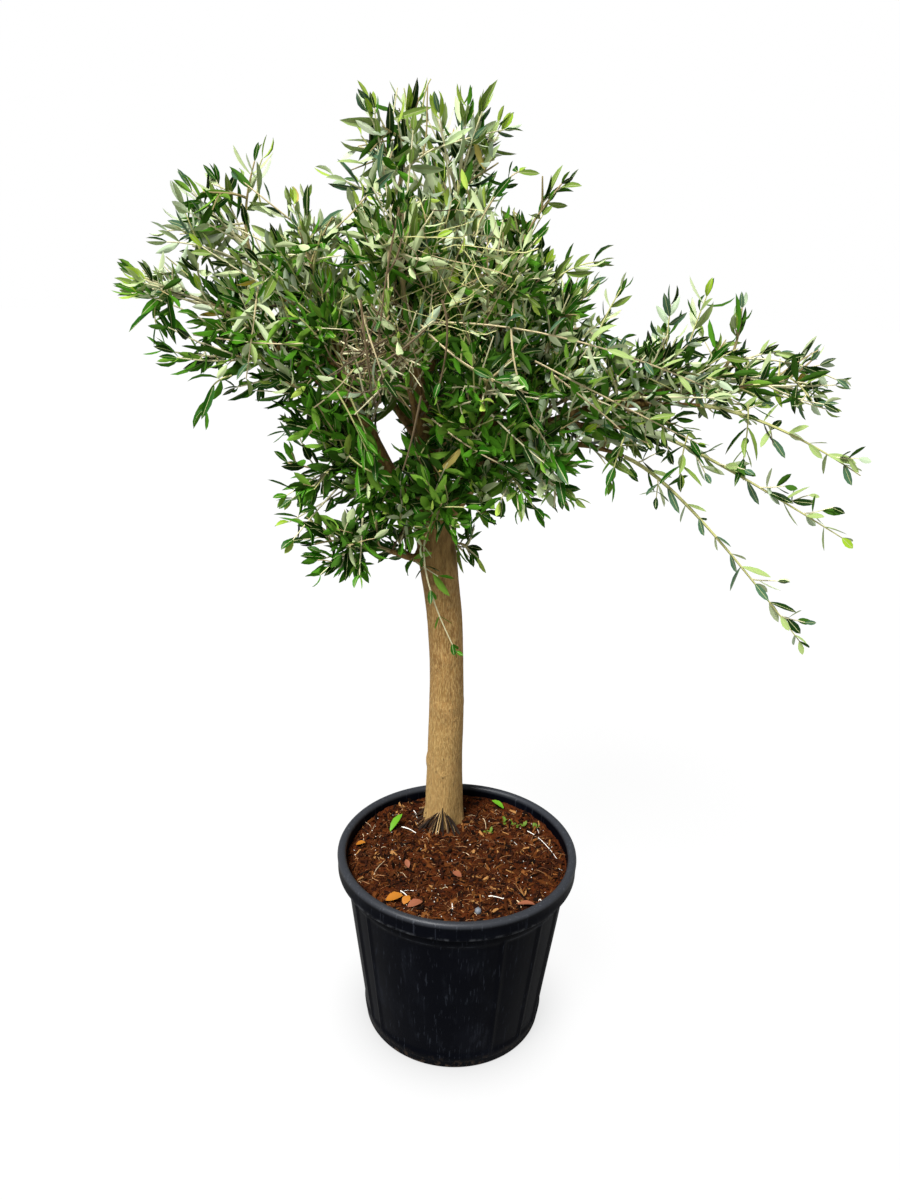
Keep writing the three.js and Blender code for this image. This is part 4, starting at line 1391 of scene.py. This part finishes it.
def joined(name, parts, finishes, smooth_shade=True):
    """One mesh from many arrays of corners, triangles and material numbers"""
    corners, faces, marks = [], [], []
    count = 0
    for part_corners, part_faces, part_marks in parts:
        corners.append(part_corners)
        faces.append(part_faces + count)
        marks.append(part_marks)
        count += len(part_corners)
    corners = np.concatenate(corners)
    faces = np.concatenate(faces)
    mesh = bpy.data.meshes.new(name)
    mesh.vertices.add(len(corners))
    mesh.vertices.foreach_set("co", corners.astype(np.float32).ravel())
    mesh.loops.add(faces.size)
    mesh.loops.foreach_set("vertex_index", faces.astype(np.int32).ravel())
    mesh.polygons.add(len(faces))
    mesh.polygons.foreach_set("loop_start", np.arange(0, faces.size, 3, dtype=np.int32))
    for finish in finishes:
        mesh.materials.append(finish)
    mesh.polygons.foreach_set("material_index", np.concatenate(marks).astype(np.int32))
    mesh.update()
    mesh.validate()
    if smooth_shade:
        mesh.shade_smooth()
        mesh.set_sharp_from_angle(angle=CREASE)
    else:
        mesh.shade_flat()
    return new_object(name, mesh)


def chip_shape(draw):
    """A splintered flake of bark"""
    bm = bmesh.new()
    bmesh.ops.create_cube(bm, size=1.0)
    for vert in bm.verts:
        vert.co.x *= draw.uniform(0.5, 1.1)
        vert.co.y *= draw.uniform(0.5, 1.1) * (0.4 if vert.co.x > 0 else 1)
        vert.co.z *= draw.uniform(0.6, 1.2)
    return shape_arrays(bm)


def lying(draw, tilt):
    """A random turn that lies roughly level"""
    turn = Matrix.Rotation(draw.uniform(0, 2 * math.pi), 3, "Z")
    tip = Matrix.Rotation(draw.gauss(0, tilt), 3, "X")
    return tip @ Matrix.Rotation(draw.gauss(0, tilt), 3, "Y") @ turn


def soil_spot(draw, widest=0.225):
    """A place on the compost, clear of the trunk"""
    while True:
        radius = widest * math.sqrt(draw.random())
        turn = draw.uniform(0, 2 * math.pi)
        x, y = radius * math.cos(turn), radius * math.sin(turn)
        if math.hypot(x - TRUNK_MIDDLE[0][1], y - TRUNK_MIDDLE[0][2]) > TRUNK_ROOM:
            return x, y


def make_chips():
    """Bark chips strewn over the compost"""
    draw = random.Random(SEED)
    shapes = [chip_shape(draw) for _ in range(CHIP_SHAPES)]
    parts = []
    for _ in range(CHIPS):
        x, y = soil_spot(draw)
        corners, faces, marks = draw.choice(shapes)
        length = 0.005 + 0.020 * draw.random() ** 2.0
        size = Vector((length, length * draw.uniform(0.18, 0.5), length * draw.uniform(0.08, 0.2)))
        place = np.array(lying(draw, 0.5)) @ (corners * np.array(size)).T
        centre = np.array((x, y, soil_height(x, y) + 0.0012))
        kind = draw.choices(range(len(CHIP_TONES)), CHIP_WEIGHTS)[0]
        parts.append((place.T + centre, faces, marks + kind))
    finishes = finishes_of("bark_chip", CHIP_TONES, 0.85, 0.10)
    made = joined("bark_chips", parts, finishes, smooth_shade=False)


def tube_arrays(curve, radii, sides, steps, kind):
    """A tapering tube along a curve, pointed at both ends"""
    rings = []
    for step in range(steps + 1):
        share = step / steps
        middle = curve.at(share)
        radius = mix(*radii, share)
        first = curve.sideways(share, 0) * radius
        second = curve.sideways(share, math.pi / 2) * radius
        for side in range(sides):
            turn = 2 * math.pi * side / sides
            rings.append(middle + first * math.cos(turn) + second * math.sin(turn))
    rings.append(curve.at(0))
    rings.append(curve.at(1) + curve.ahead(1) * radii[1])
    faces = []
    for step in range(steps):
        for side in range(sides):
            low = step * sides + side
            beside = step * sides + (side + 1) % sides
            faces.append((low, beside, beside + sides))
            faces.append((low, beside + sides, low + sides))
    last = steps * sides
    for side in range(sides):
        after = (side + 1) % sides
        faces.append((after, side, last + sides))
        faces.append((last + side, last + after, last + sides + 1))
    faces = np.array(faces)
    return np.array([point[:] for point in rings]), faces, np.full(len(faces), kind)


def fibre_curve(draw, start, turn, length, lift):
    """A crooked fibre that lies on the compost"""
    ahead = Vector((math.cos(turn), math.sin(turn), 0))
    aside = Vector((-ahead.y, ahead.x, 0)) * draw.uniform(-0.35, 0.35) * length
    end = start + ahead * length
    end.z = soil_height(end.x, end.y) + 0.001
    leave = start + ahead * length * 0.35 + aside + UP * lift
    arrive = end - ahead * 0.3 * length - aside * 0.6 + UP * lift
    return Curve(start, leave, arrive, end, 8)


def make_fibres():
    """Fine pale roots and fibres in the compost"""
    draw = random.Random(SEED + 1)
    parts = []
    for _ in range(FIBRES):
        x, y = soil_spot(draw, 0.215)
        start = Vector((x, y, soil_height(x, y) + 0.001))
        length = 0.008 + 0.028 * draw.random() ** 2
        curve = fibre_curve(draw, start, draw.uniform(0, 2 * math.pi), length, 0.003)
        radius = draw.uniform(0.00035, 0.0008)
        kind = draw.choices(range(len(FIBRE_TONES)), FIBRE_WEIGHTS)[0]
        parts.append(tube_arrays(curve, (radius, radius * 0.5), 3, 5, kind))
    for start, end, radius, kind in LONG_ROOTS:
        first = Vector((*start, soil_height(*start) + 0.002))
        last = Vector((*end, soil_height(*end) + 0.002))
        way = last - first
        bend = Vector((-way.y, way.x, 0.012)) * 0.12
        curve = Curve(first, first + way * 0.3 + bend, last - way * 0.3 + bend * 0.4, last, 10)
        parts.append(tube_arrays(curve, (radius, radius * 0.5), 4, 10, kind))
    made = joined("root_fibres", parts, finishes_of("fibre", FIBRE_TONES, 0.8, 0.3))


def make_grit():
    """White perlite, pale grit and one grey pebble"""
    draw = random.Random(SEED + 2)
    bm = bmesh.new()
    bmesh.ops.create_icosphere(bm, subdivisions=1, radius=0.5)
    corners, faces, marks = shape_arrays(bm)
    parts = []
    spots = []
    for _ in range(GRIT):
        spot, size = soil_spot(draw, 0.22), draw.uniform(0.0010, 0.0028)
        spots.append((*spot, size, draw.choices((0, 1), (70, 30))[0]))
    for x, y, size, kind in spots + PEBBLES:
        stretch = np.array([size * draw.uniform(0.7, 1.3) for _ in range(3)])
        place = np.array(lying(draw, 0.6)) @ (corners * stretch).T
        centre = np.array((x, y, soil_height(x, y) + 0.002 + 0.15 * size))
        parts.append((place.T + centre, faces, marks + kind))
    finishes = [plain("perlite", "dcd8cc", 0.9, 0.2), plain("pale_grit", "b39a78", 0.9, 0.2),
                plain("pebble", "6f747c", 0.55, 0.4)]
    made = joined("perlite_and_grit", parts, finishes)


def laid(leaf, spin, scale, place, kind):
    """A flat leaf turned, sized and put down in one colour"""
    corners, faces, marks = leaf
    turned = (np.array(spin) @ (corners * np.array(scale)).T).T
    return turned + np.array(place), faces, np.full(len(marks), kind)


def make_litter():
    """Fallen leaves on the compost and small weeds"""
    draw = random.Random(SEED + 4)
    flat = leaf_shape(0.10, 0.2, 0.3, 0.5)
    parts = []
    for x, y, length, width, turn, tilt, kind in FALLEN:
        spin = Matrix.Rotation(math.radians(turn), 3, "Z") @ Matrix.Rotation(math.radians(tilt), 3, "X")
        spot = (x, y, soil_height(x, y) + 0.005)
        parts.append(laid(flat, spin, (width, length, length), spot, kind))
    for x, y in WEEDS:
        for _ in range(WEED_LEAVES):
            spin = Matrix.Rotation(draw.uniform(0, 6.3), 3, "Z")
            spin = spin @ Matrix.Rotation(draw.uniform(0.1, 0.8), 3, "X")
            length = draw.uniform(0.006, 0.013)
            spot = (x + draw.gauss(0, 0.004), y + draw.gauss(0, 0.004), soil_height(x, y) + 0.003)
            parts.append(laid(flat, spin, (0.55 * length, length, length), spot, WEED_COLOUR))
    finishes = [plain("fallen_green", "5c941e", 0.5, 0.2), plain("fallen_orange", "a8681c", 0.6, 0.25),
                plain("fallen_brown", "8a5238", 0.6, 0.3), plain("weed", "55701f", 0.6, 0.2)]
    made = joined("fallen_leaves_and_weeds", parts, finishes)


# Trunk and boughs


def limb_frame(middle, ahead, aside, radius):
    """The matrix that takes a unit circle to a ring of a limb"""
    other = ahead.cross(aside)
    turn = Matrix((aside, other, ahead)).transposed().to_4x4()
    return Matrix.Translation(middle) @ turn @ Matrix.Diagonal((radius, radius, radius, 1))


def add_limb(bm, frames, sides):
    """A closed limb, drawn out ring by ring from a circle"""
    ring = bmesh.ops.create_circle(bm, cap_ends=True, radius=1, segments=sides, matrix=frames[0])["verts"]
    face = ring[0].link_faces[0]
    for before, after in zip(frames, frames[1:]):
        drawn = bmesh.ops.extrude_face_region(bm, geom=[face], use_keep_orig=False)["geom"]
        face = next(part for part in drawn if isinstance(part, bmesh.types.BMFace))
        bmesh.ops.transform(bm, matrix=after @ before.inverted(), verts=face.verts[:])


def trunk_frames():
    """The frames of the trunk's rings, the lowest a little under the compost"""
    for step in range(TRUNK_RINGS + 1):
        share = step / TRUNK_RINGS
        middle = trunk_middle(share)
        if step == 0:
            middle.z -= 0.012
        yield limb_frame(middle, UP, Vector((1, 0, 0)), trunk_radius(share))


def bough_frames(mass):
    steps = max(6, round(mass.limb.length / BOUGH_RING))
    for step in range(steps + 1):
        share = step / steps
        radius = mix(mass.bough.radius, bough_end(mass), share)
        ahead = mass.limb.ahead(share)
        yield limb_frame(mass.limb.at(share), ahead, mass.limb.sideways(share, 0), radius)


def finished(made):
    """The object's mesh with its modifiers applied, in a finished object without them"""
    bpy.context.view_layer.update()
    whole = made.evaluated_get(bpy.context.evaluated_depsgraph_get())
    mesh = bpy.data.meshes.new_from_object(whole)
    made.modifiers.clear()
    made.data = mesh
    return mesh


def bark_relief(point, lower):
    """The relief of the bark: upright ridges, and lumps on the trunk where twigs once were"""
    ridges = noise.noise(Vector((point.x * 55, point.y * 55, point.z * 7)))
    fine = noise.noise(Vector((point.x * 210, point.y * 210, point.z * 26)))
    lumps = max(0.0, noise.noise(point * 17) - 0.32) * lower
    return sum(high * part for high, part in zip(RIDGES, (ridges, fine, lumps)))


def swell_foot(bm):
    """The trunk's foot swollen into low buttresses"""
    for vert in bm.verts:
        middle = trunk_middle(clamp(height_share(vert.co.z)))
        out = Vector((vert.co.x - middle.x, vert.co.y - middle.y, 0))
        turn = math.atan2(out.y, out.x)
        swell = BUTTRESS_SWELL * math.exp(-max(vert.co.z - TRUNK_FOOT, 0) / BUTTRESS_HEIGHT)
        vert.co += out * swell * math.cos(BUTTRESSES * turn + 1)


def height_share(height):
    """A height as a share of the trunk's"""
    return (height - TRUNK_FOOT) / (TRUNK_FORK - TRUNK_FOOT)


def make_limbs():
    """The trunk and the boughs as one limb system, fused and given the bark's relief"""
    bm = bmesh.new()
    add_limb(bm, list(trunk_frames()), TRUNK_SIDES)
    swell_foot(bm)
    boughs = [mass for mass in MASSES if mass.bough.radius]
    for mass in boughs:
        add_limb(bm, list(bough_frames(mass)), BOUGH_SIDES)
    for height, turn, radius in STUBS:
        share, turn = height_share(height), math.radians(turn)
        out = Vector((math.cos(turn), math.sin(turn), 0.25))
        centre = trunk_middle(share) + out * (trunk_radius(share) - 0.3 * radius)
        bmesh.ops.create_icosphere(bm, subdivisions=2, radius=radius, matrix=Matrix.Translation(centre))
    bmesh.ops.recalc_face_normals(bm, faces=bm.faces)
    made = new_object("trunk_and_boughs", mesh_of("limbs", bm))
    fuse = made.modifiers.new("fuse", "REMESH")
    fuse.mode = "VOXEL"
    fuse.voxel_size = BARK_MESH
    fuse.use_smooth_shade = True
    mesh = finished(made)
    bm = bmesh.new()
    bm.from_mesh(mesh)
    bmesh.ops.smooth_vert(bm, verts=bm.verts, factor=0.5, use_axis_x=True, use_axis_y=True, use_axis_z=True)
    bm.normal_update()
    for vert in bm.verts:
        vert.co += vert.normal * bark_relief(vert.co, smooth((1.14 - vert.co.z) / 0.05))
    bm.to_mesh(mesh)
    bm.free()
    mesh.shade_smooth()
    mesh.materials.append(bark())
    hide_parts("trunk", *["bough_" + mass.name for mass in boughs])


def make_splinters():
    """The frayed split at the front of the trunk's foot, with its fibres spread into the compost"""
    draw = random.Random(SEED + 3)
    parts = []
    middle = trunk_middle(0)
    for number in range(SPLINTERS):
        if number < FAN_SPLINTERS:
            aside = draw.gauss(0, 1)
            turn = math.radians(FAN_TURN + FAN_UPPER * aside)
            spread = math.radians(FAN_TURN + FAN_LOWER * aside)
            tall = FAN_HEIGHT * draw.uniform(0.55, 1.0) / (1 + 0.35 * abs(aside))
        else:
            turn = spread = math.radians(draw.uniform(150, 225))
            tall = SIDE_HEIGHT * draw.uniform(0.45, 1.0)
        out = Vector((math.cos(turn), math.sin(turn), 0))
        away = Vector((math.cos(spread), math.sin(spread), 0))
        start = middle + out * 0.0395 + UP * max(tall, 0.01)
        end = middle + away * draw.uniform(0.054, 0.078)
        end.z = SOIL_TOP - 0.003
        bend = middle + away * 0.044 + UP * 0.55 * tall
        curve = Curve(start, bend, end + UP * 0.008 - away * 0.006, end, 8)
        radius = draw.uniform(0.0010, 0.0026)
        kind = draw.choices(range(len(SPLINTER_TONES)), SPLINTER_WEIGHTS)[0]
        parts.append(tube_arrays(curve, (radius * 0.5, radius), 5, 7, kind))
    made = joined("foot_splinters", parts, finishes_of("splinter", SPLINTER_TONES, 0.85, 0.25))


# Twigs and leaves


def make_twigs():
    """All twigs as one piece, the thick ones with more sides"""
    kinds = list(TWIG_TONES)
    parts = []
    for curve, radii, kind, steps in twigs:
        sides = 3 + (radii[0] > 0.0015) + (radii[0] > 0.0035)
        parts.append(tube_arrays(curve, radii, sides, steps, kinds.index(kind)))
    finishes = [plain(f"twig_{kind}", code, 0.6, 0.35) for kind, code in TWIG_TONES.items()]
    made = joined("twigs", parts, finishes)


def leaf_half_width(along, widest):
    """Half a leaf's width at a share of its length"""
    if not 0 < along < 1:
        return 0.0
    stretched = along / (2 * widest) if along < widest else 1 - (1 - along) / (2 * (1 - widest))
    return 0.5 * math.sin(math.pi * stretched) ** LEAF_OUTLINE


def leaf_shape(arch, fold, twist, widest):
    """A leaf one unit long and wide: a blade with a rib above and a paler underside, closed at its edge"""
    bm = bmesh.new()
    bmesh.ops.create_grid(bm, x_segments=3, y_segments=5, size=0.5)
    for vert in bm.verts:
        row = round((vert.co.y + 0.5) * 5)
        column = round((vert.co.x + 0.5) * 3)
        along = LEAF_ROWS[row]
        half = leaf_half_width(along, widest)
        half = max(half, 0.05) if row == 1 else half
        aside = (-half, -min(RIB_HALF, half), min(RIB_HALF, half), half)[column]
        lift = arch * (4 * along * (1 - along)) if arch > 0 else arch * along * along
        turn = twist * (along - 0.3)
        rise = 0.5 * fold * abs(aside) + 0.2 * aside * math.sin(turn)
        vert.co = Vector((aside * math.cos(turn), along, lift + rise))
    for face in bm.faces:
        inner = max(abs(vert.co.x) for vert in face.verts) < 0.06
        face.material_index = RIB if inner and min(vert.co.y for vert in face.verts) > 0.0 else TOP
    bmesh.ops.remove_doubles(bm, verts=bm.verts, dist=1e-5)
    upper = bm.faces[:]
    copied = bmesh.ops.duplicate(bm, geom=bm.verts[:] + bm.edges[:] + bm.faces[:])["geom"]
    lower = [part for part in copied if isinstance(part, bmesh.types.BMFace)]
    for face in lower:
        face.material_index = UNDER
    bmesh.ops.reverse_faces(bm, faces=lower)
    for vert in {vert for face in lower for vert in face.verts if not vert.is_boundary}:
        vert.co.z -= LEAF_THICKNESS
    bmesh.ops.remove_doubles(bm, verts=bm.verts, dist=1e-5)
    if sum(face.normal.z for face in upper if face.is_valid) < 0:
        bmesh.ops.reverse_faces(bm, faces=bm.faces)
    return shape_arrays(bm)


def leaf_finishes():
    """The materials of all leaves: two for each colour, and the rib's"""
    finishes = []
    for name, (top, under) in LEAF_TONES.items():
        finishes.append(plain(f"leaf_{name}_top", top, 0.42, 0.16))
        finishes.append(plain(f"leaf_{name}_under", under, 0.8, 0.05))
    finishes.append(plain("leaf_rib", RIB_TONE, 0.5, 0.35))
    return finishes


def make_leaves():
    """The leaves in their pieces, each leaf its shape set on its own three axes"""
    finishes = leaf_finishes()
    shapes = {name: leaf_shape(*form) for name, form in LEAF_FORMS.items()}
    colours = list(LEAF_TONES)
    for piece, members in LEAF_PIECES.items():
        parts = []
        for root, across, heading, face, shape, colour in (row for name in members for row in leaves[name]):
            corners, faces, marks = shapes[shape]
            axes = np.array((across[:], heading[:], face[:]))
            kinds = np.where(marks == RIB, 2 * len(colours), marks + 2 * colours.index(colour))
            parts.append((corners @ axes + np.array(root[:]), faces, kinds))
        made = joined(piece, parts, finishes)
        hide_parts(*["foliage_" + name for name in members])


# Stage


def make_stage():
    """A pale floor that glows to the camera, a shade darker close round the pot's foot: painted contact
    shadow
    """
    bm = bmesh.new()
    bmesh.ops.create_grid(bm, x_segments=1, y_segments=1, size=FLOOR_SIZE)
    floor = bpy.data.objects.new("floor", mesh_of("floor", bm, smooth_shade=False))
    bpy.context.collection.objects.link(floor)
    finish = plain("floor", FLOOR_PALE, 0.9, 0.1)
    tree = finish.node_tree
    shader = tree.nodes["Principled BSDF"]
    seen = node(tree, "ShaderNodeLightPath").outputs["Is Camera Ray"]
    # Painted contact shadow: the floor's glow dims where ambient occlusion finds the pot close by
    near = node(tree, "ShaderNodeAmbientOcclusion", {"Distance": CONTACT_REACH}, samples=16).outputs["AO"]
    plug(tree, shader.inputs["Base Color"], colour_mix(tree, seen, tone(FLOOR_PALE), tone(FLOOR_SEEN)))
    plug(tree, shader.inputs["Emission Color"], (1, 1, 1, 1))
    glow_with_painted_shadow = times(tree, seen, ranged(tree, near, 0.0, 1.0, *FLOOR_GLOW))
    plug(tree, shader.inputs["Emission Strength"], glow_with_painted_shadow)
    floor.data.materials.append(finish)
    floor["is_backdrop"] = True


def sun_light(name, place, angle, strength):
    """A broad light from the side where place lies, the same everywhere"""
    light = bpy.data.lights.new(name, "SUN")
    light.angle = angle
    light.energy = strength
    made = bpy.data.objects.new(name, light)
    made.rotation_euler = Vector(place).to_track_quat("Z", "Y").to_euler()
    bpy.context.collection.objects.link(made)


def make_lights():
    """White all round, brighter to the camera than to the object, and a broad soft sun from above, left"""
    world = bpy.data.worlds.new("studio")
    world.use_nodes = True
    tree = world.node_tree
    seen = node(tree, "ShaderNodeLightPath").outputs["Is Camera Ray"]
    strength = plus(tree, AMBIENT, times(tree, seen, 1.0 - AMBIENT))
    background = tree.nodes["Background"]
    background.inputs["Color"].default_value = (1, 1, 1, 1)
    tree.links.new(strength, background.inputs["Strength"])
    bpy.context.scene.world = world
    sun_light("key", KEY_PLACE, math.radians(KEY_ANGLE), KEY_STRENGTH)
    sun_light("fill", FILL_PLACE, math.radians(FILL_ANGLE), FILL_STRENGTH)


def make_camera():
    """A standing view: 1.67 m above the floor, tilted down and very slightly turned"""
    camera = bpy.data.cameras.new("camera")
    camera.lens = LENS
    camera.sensor_width = SENSOR
    made = bpy.data.objects.new("camera", camera)
    pitch, roll = math.radians(CAMERA_PITCH), math.radians(CAMERA_ROLL)
    turn = Matrix.Rotation(math.pi / 2 - pitch, 4, "X") @ Matrix.Rotation(roll, 4, "Z")
    made.matrix_world = Matrix.Translation(CAMERA_PLACE) @ turn
    bpy.context.collection.objects.link(made)
    bpy.context.scene.camera = made


grow_plant()
make_pot()
make_soil()
make_chips()
make_fibres()
make_grit()
make_litter()
make_limbs()
make_splinters()
make_twigs()
make_leaves()
make_stage()
make_lights()
make_camera()
bpy.context.scene.view_settings.view_transform = "Standard"

boxes = [cad_box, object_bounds()]
[[list(corner) for corner in box] for box in boxes]
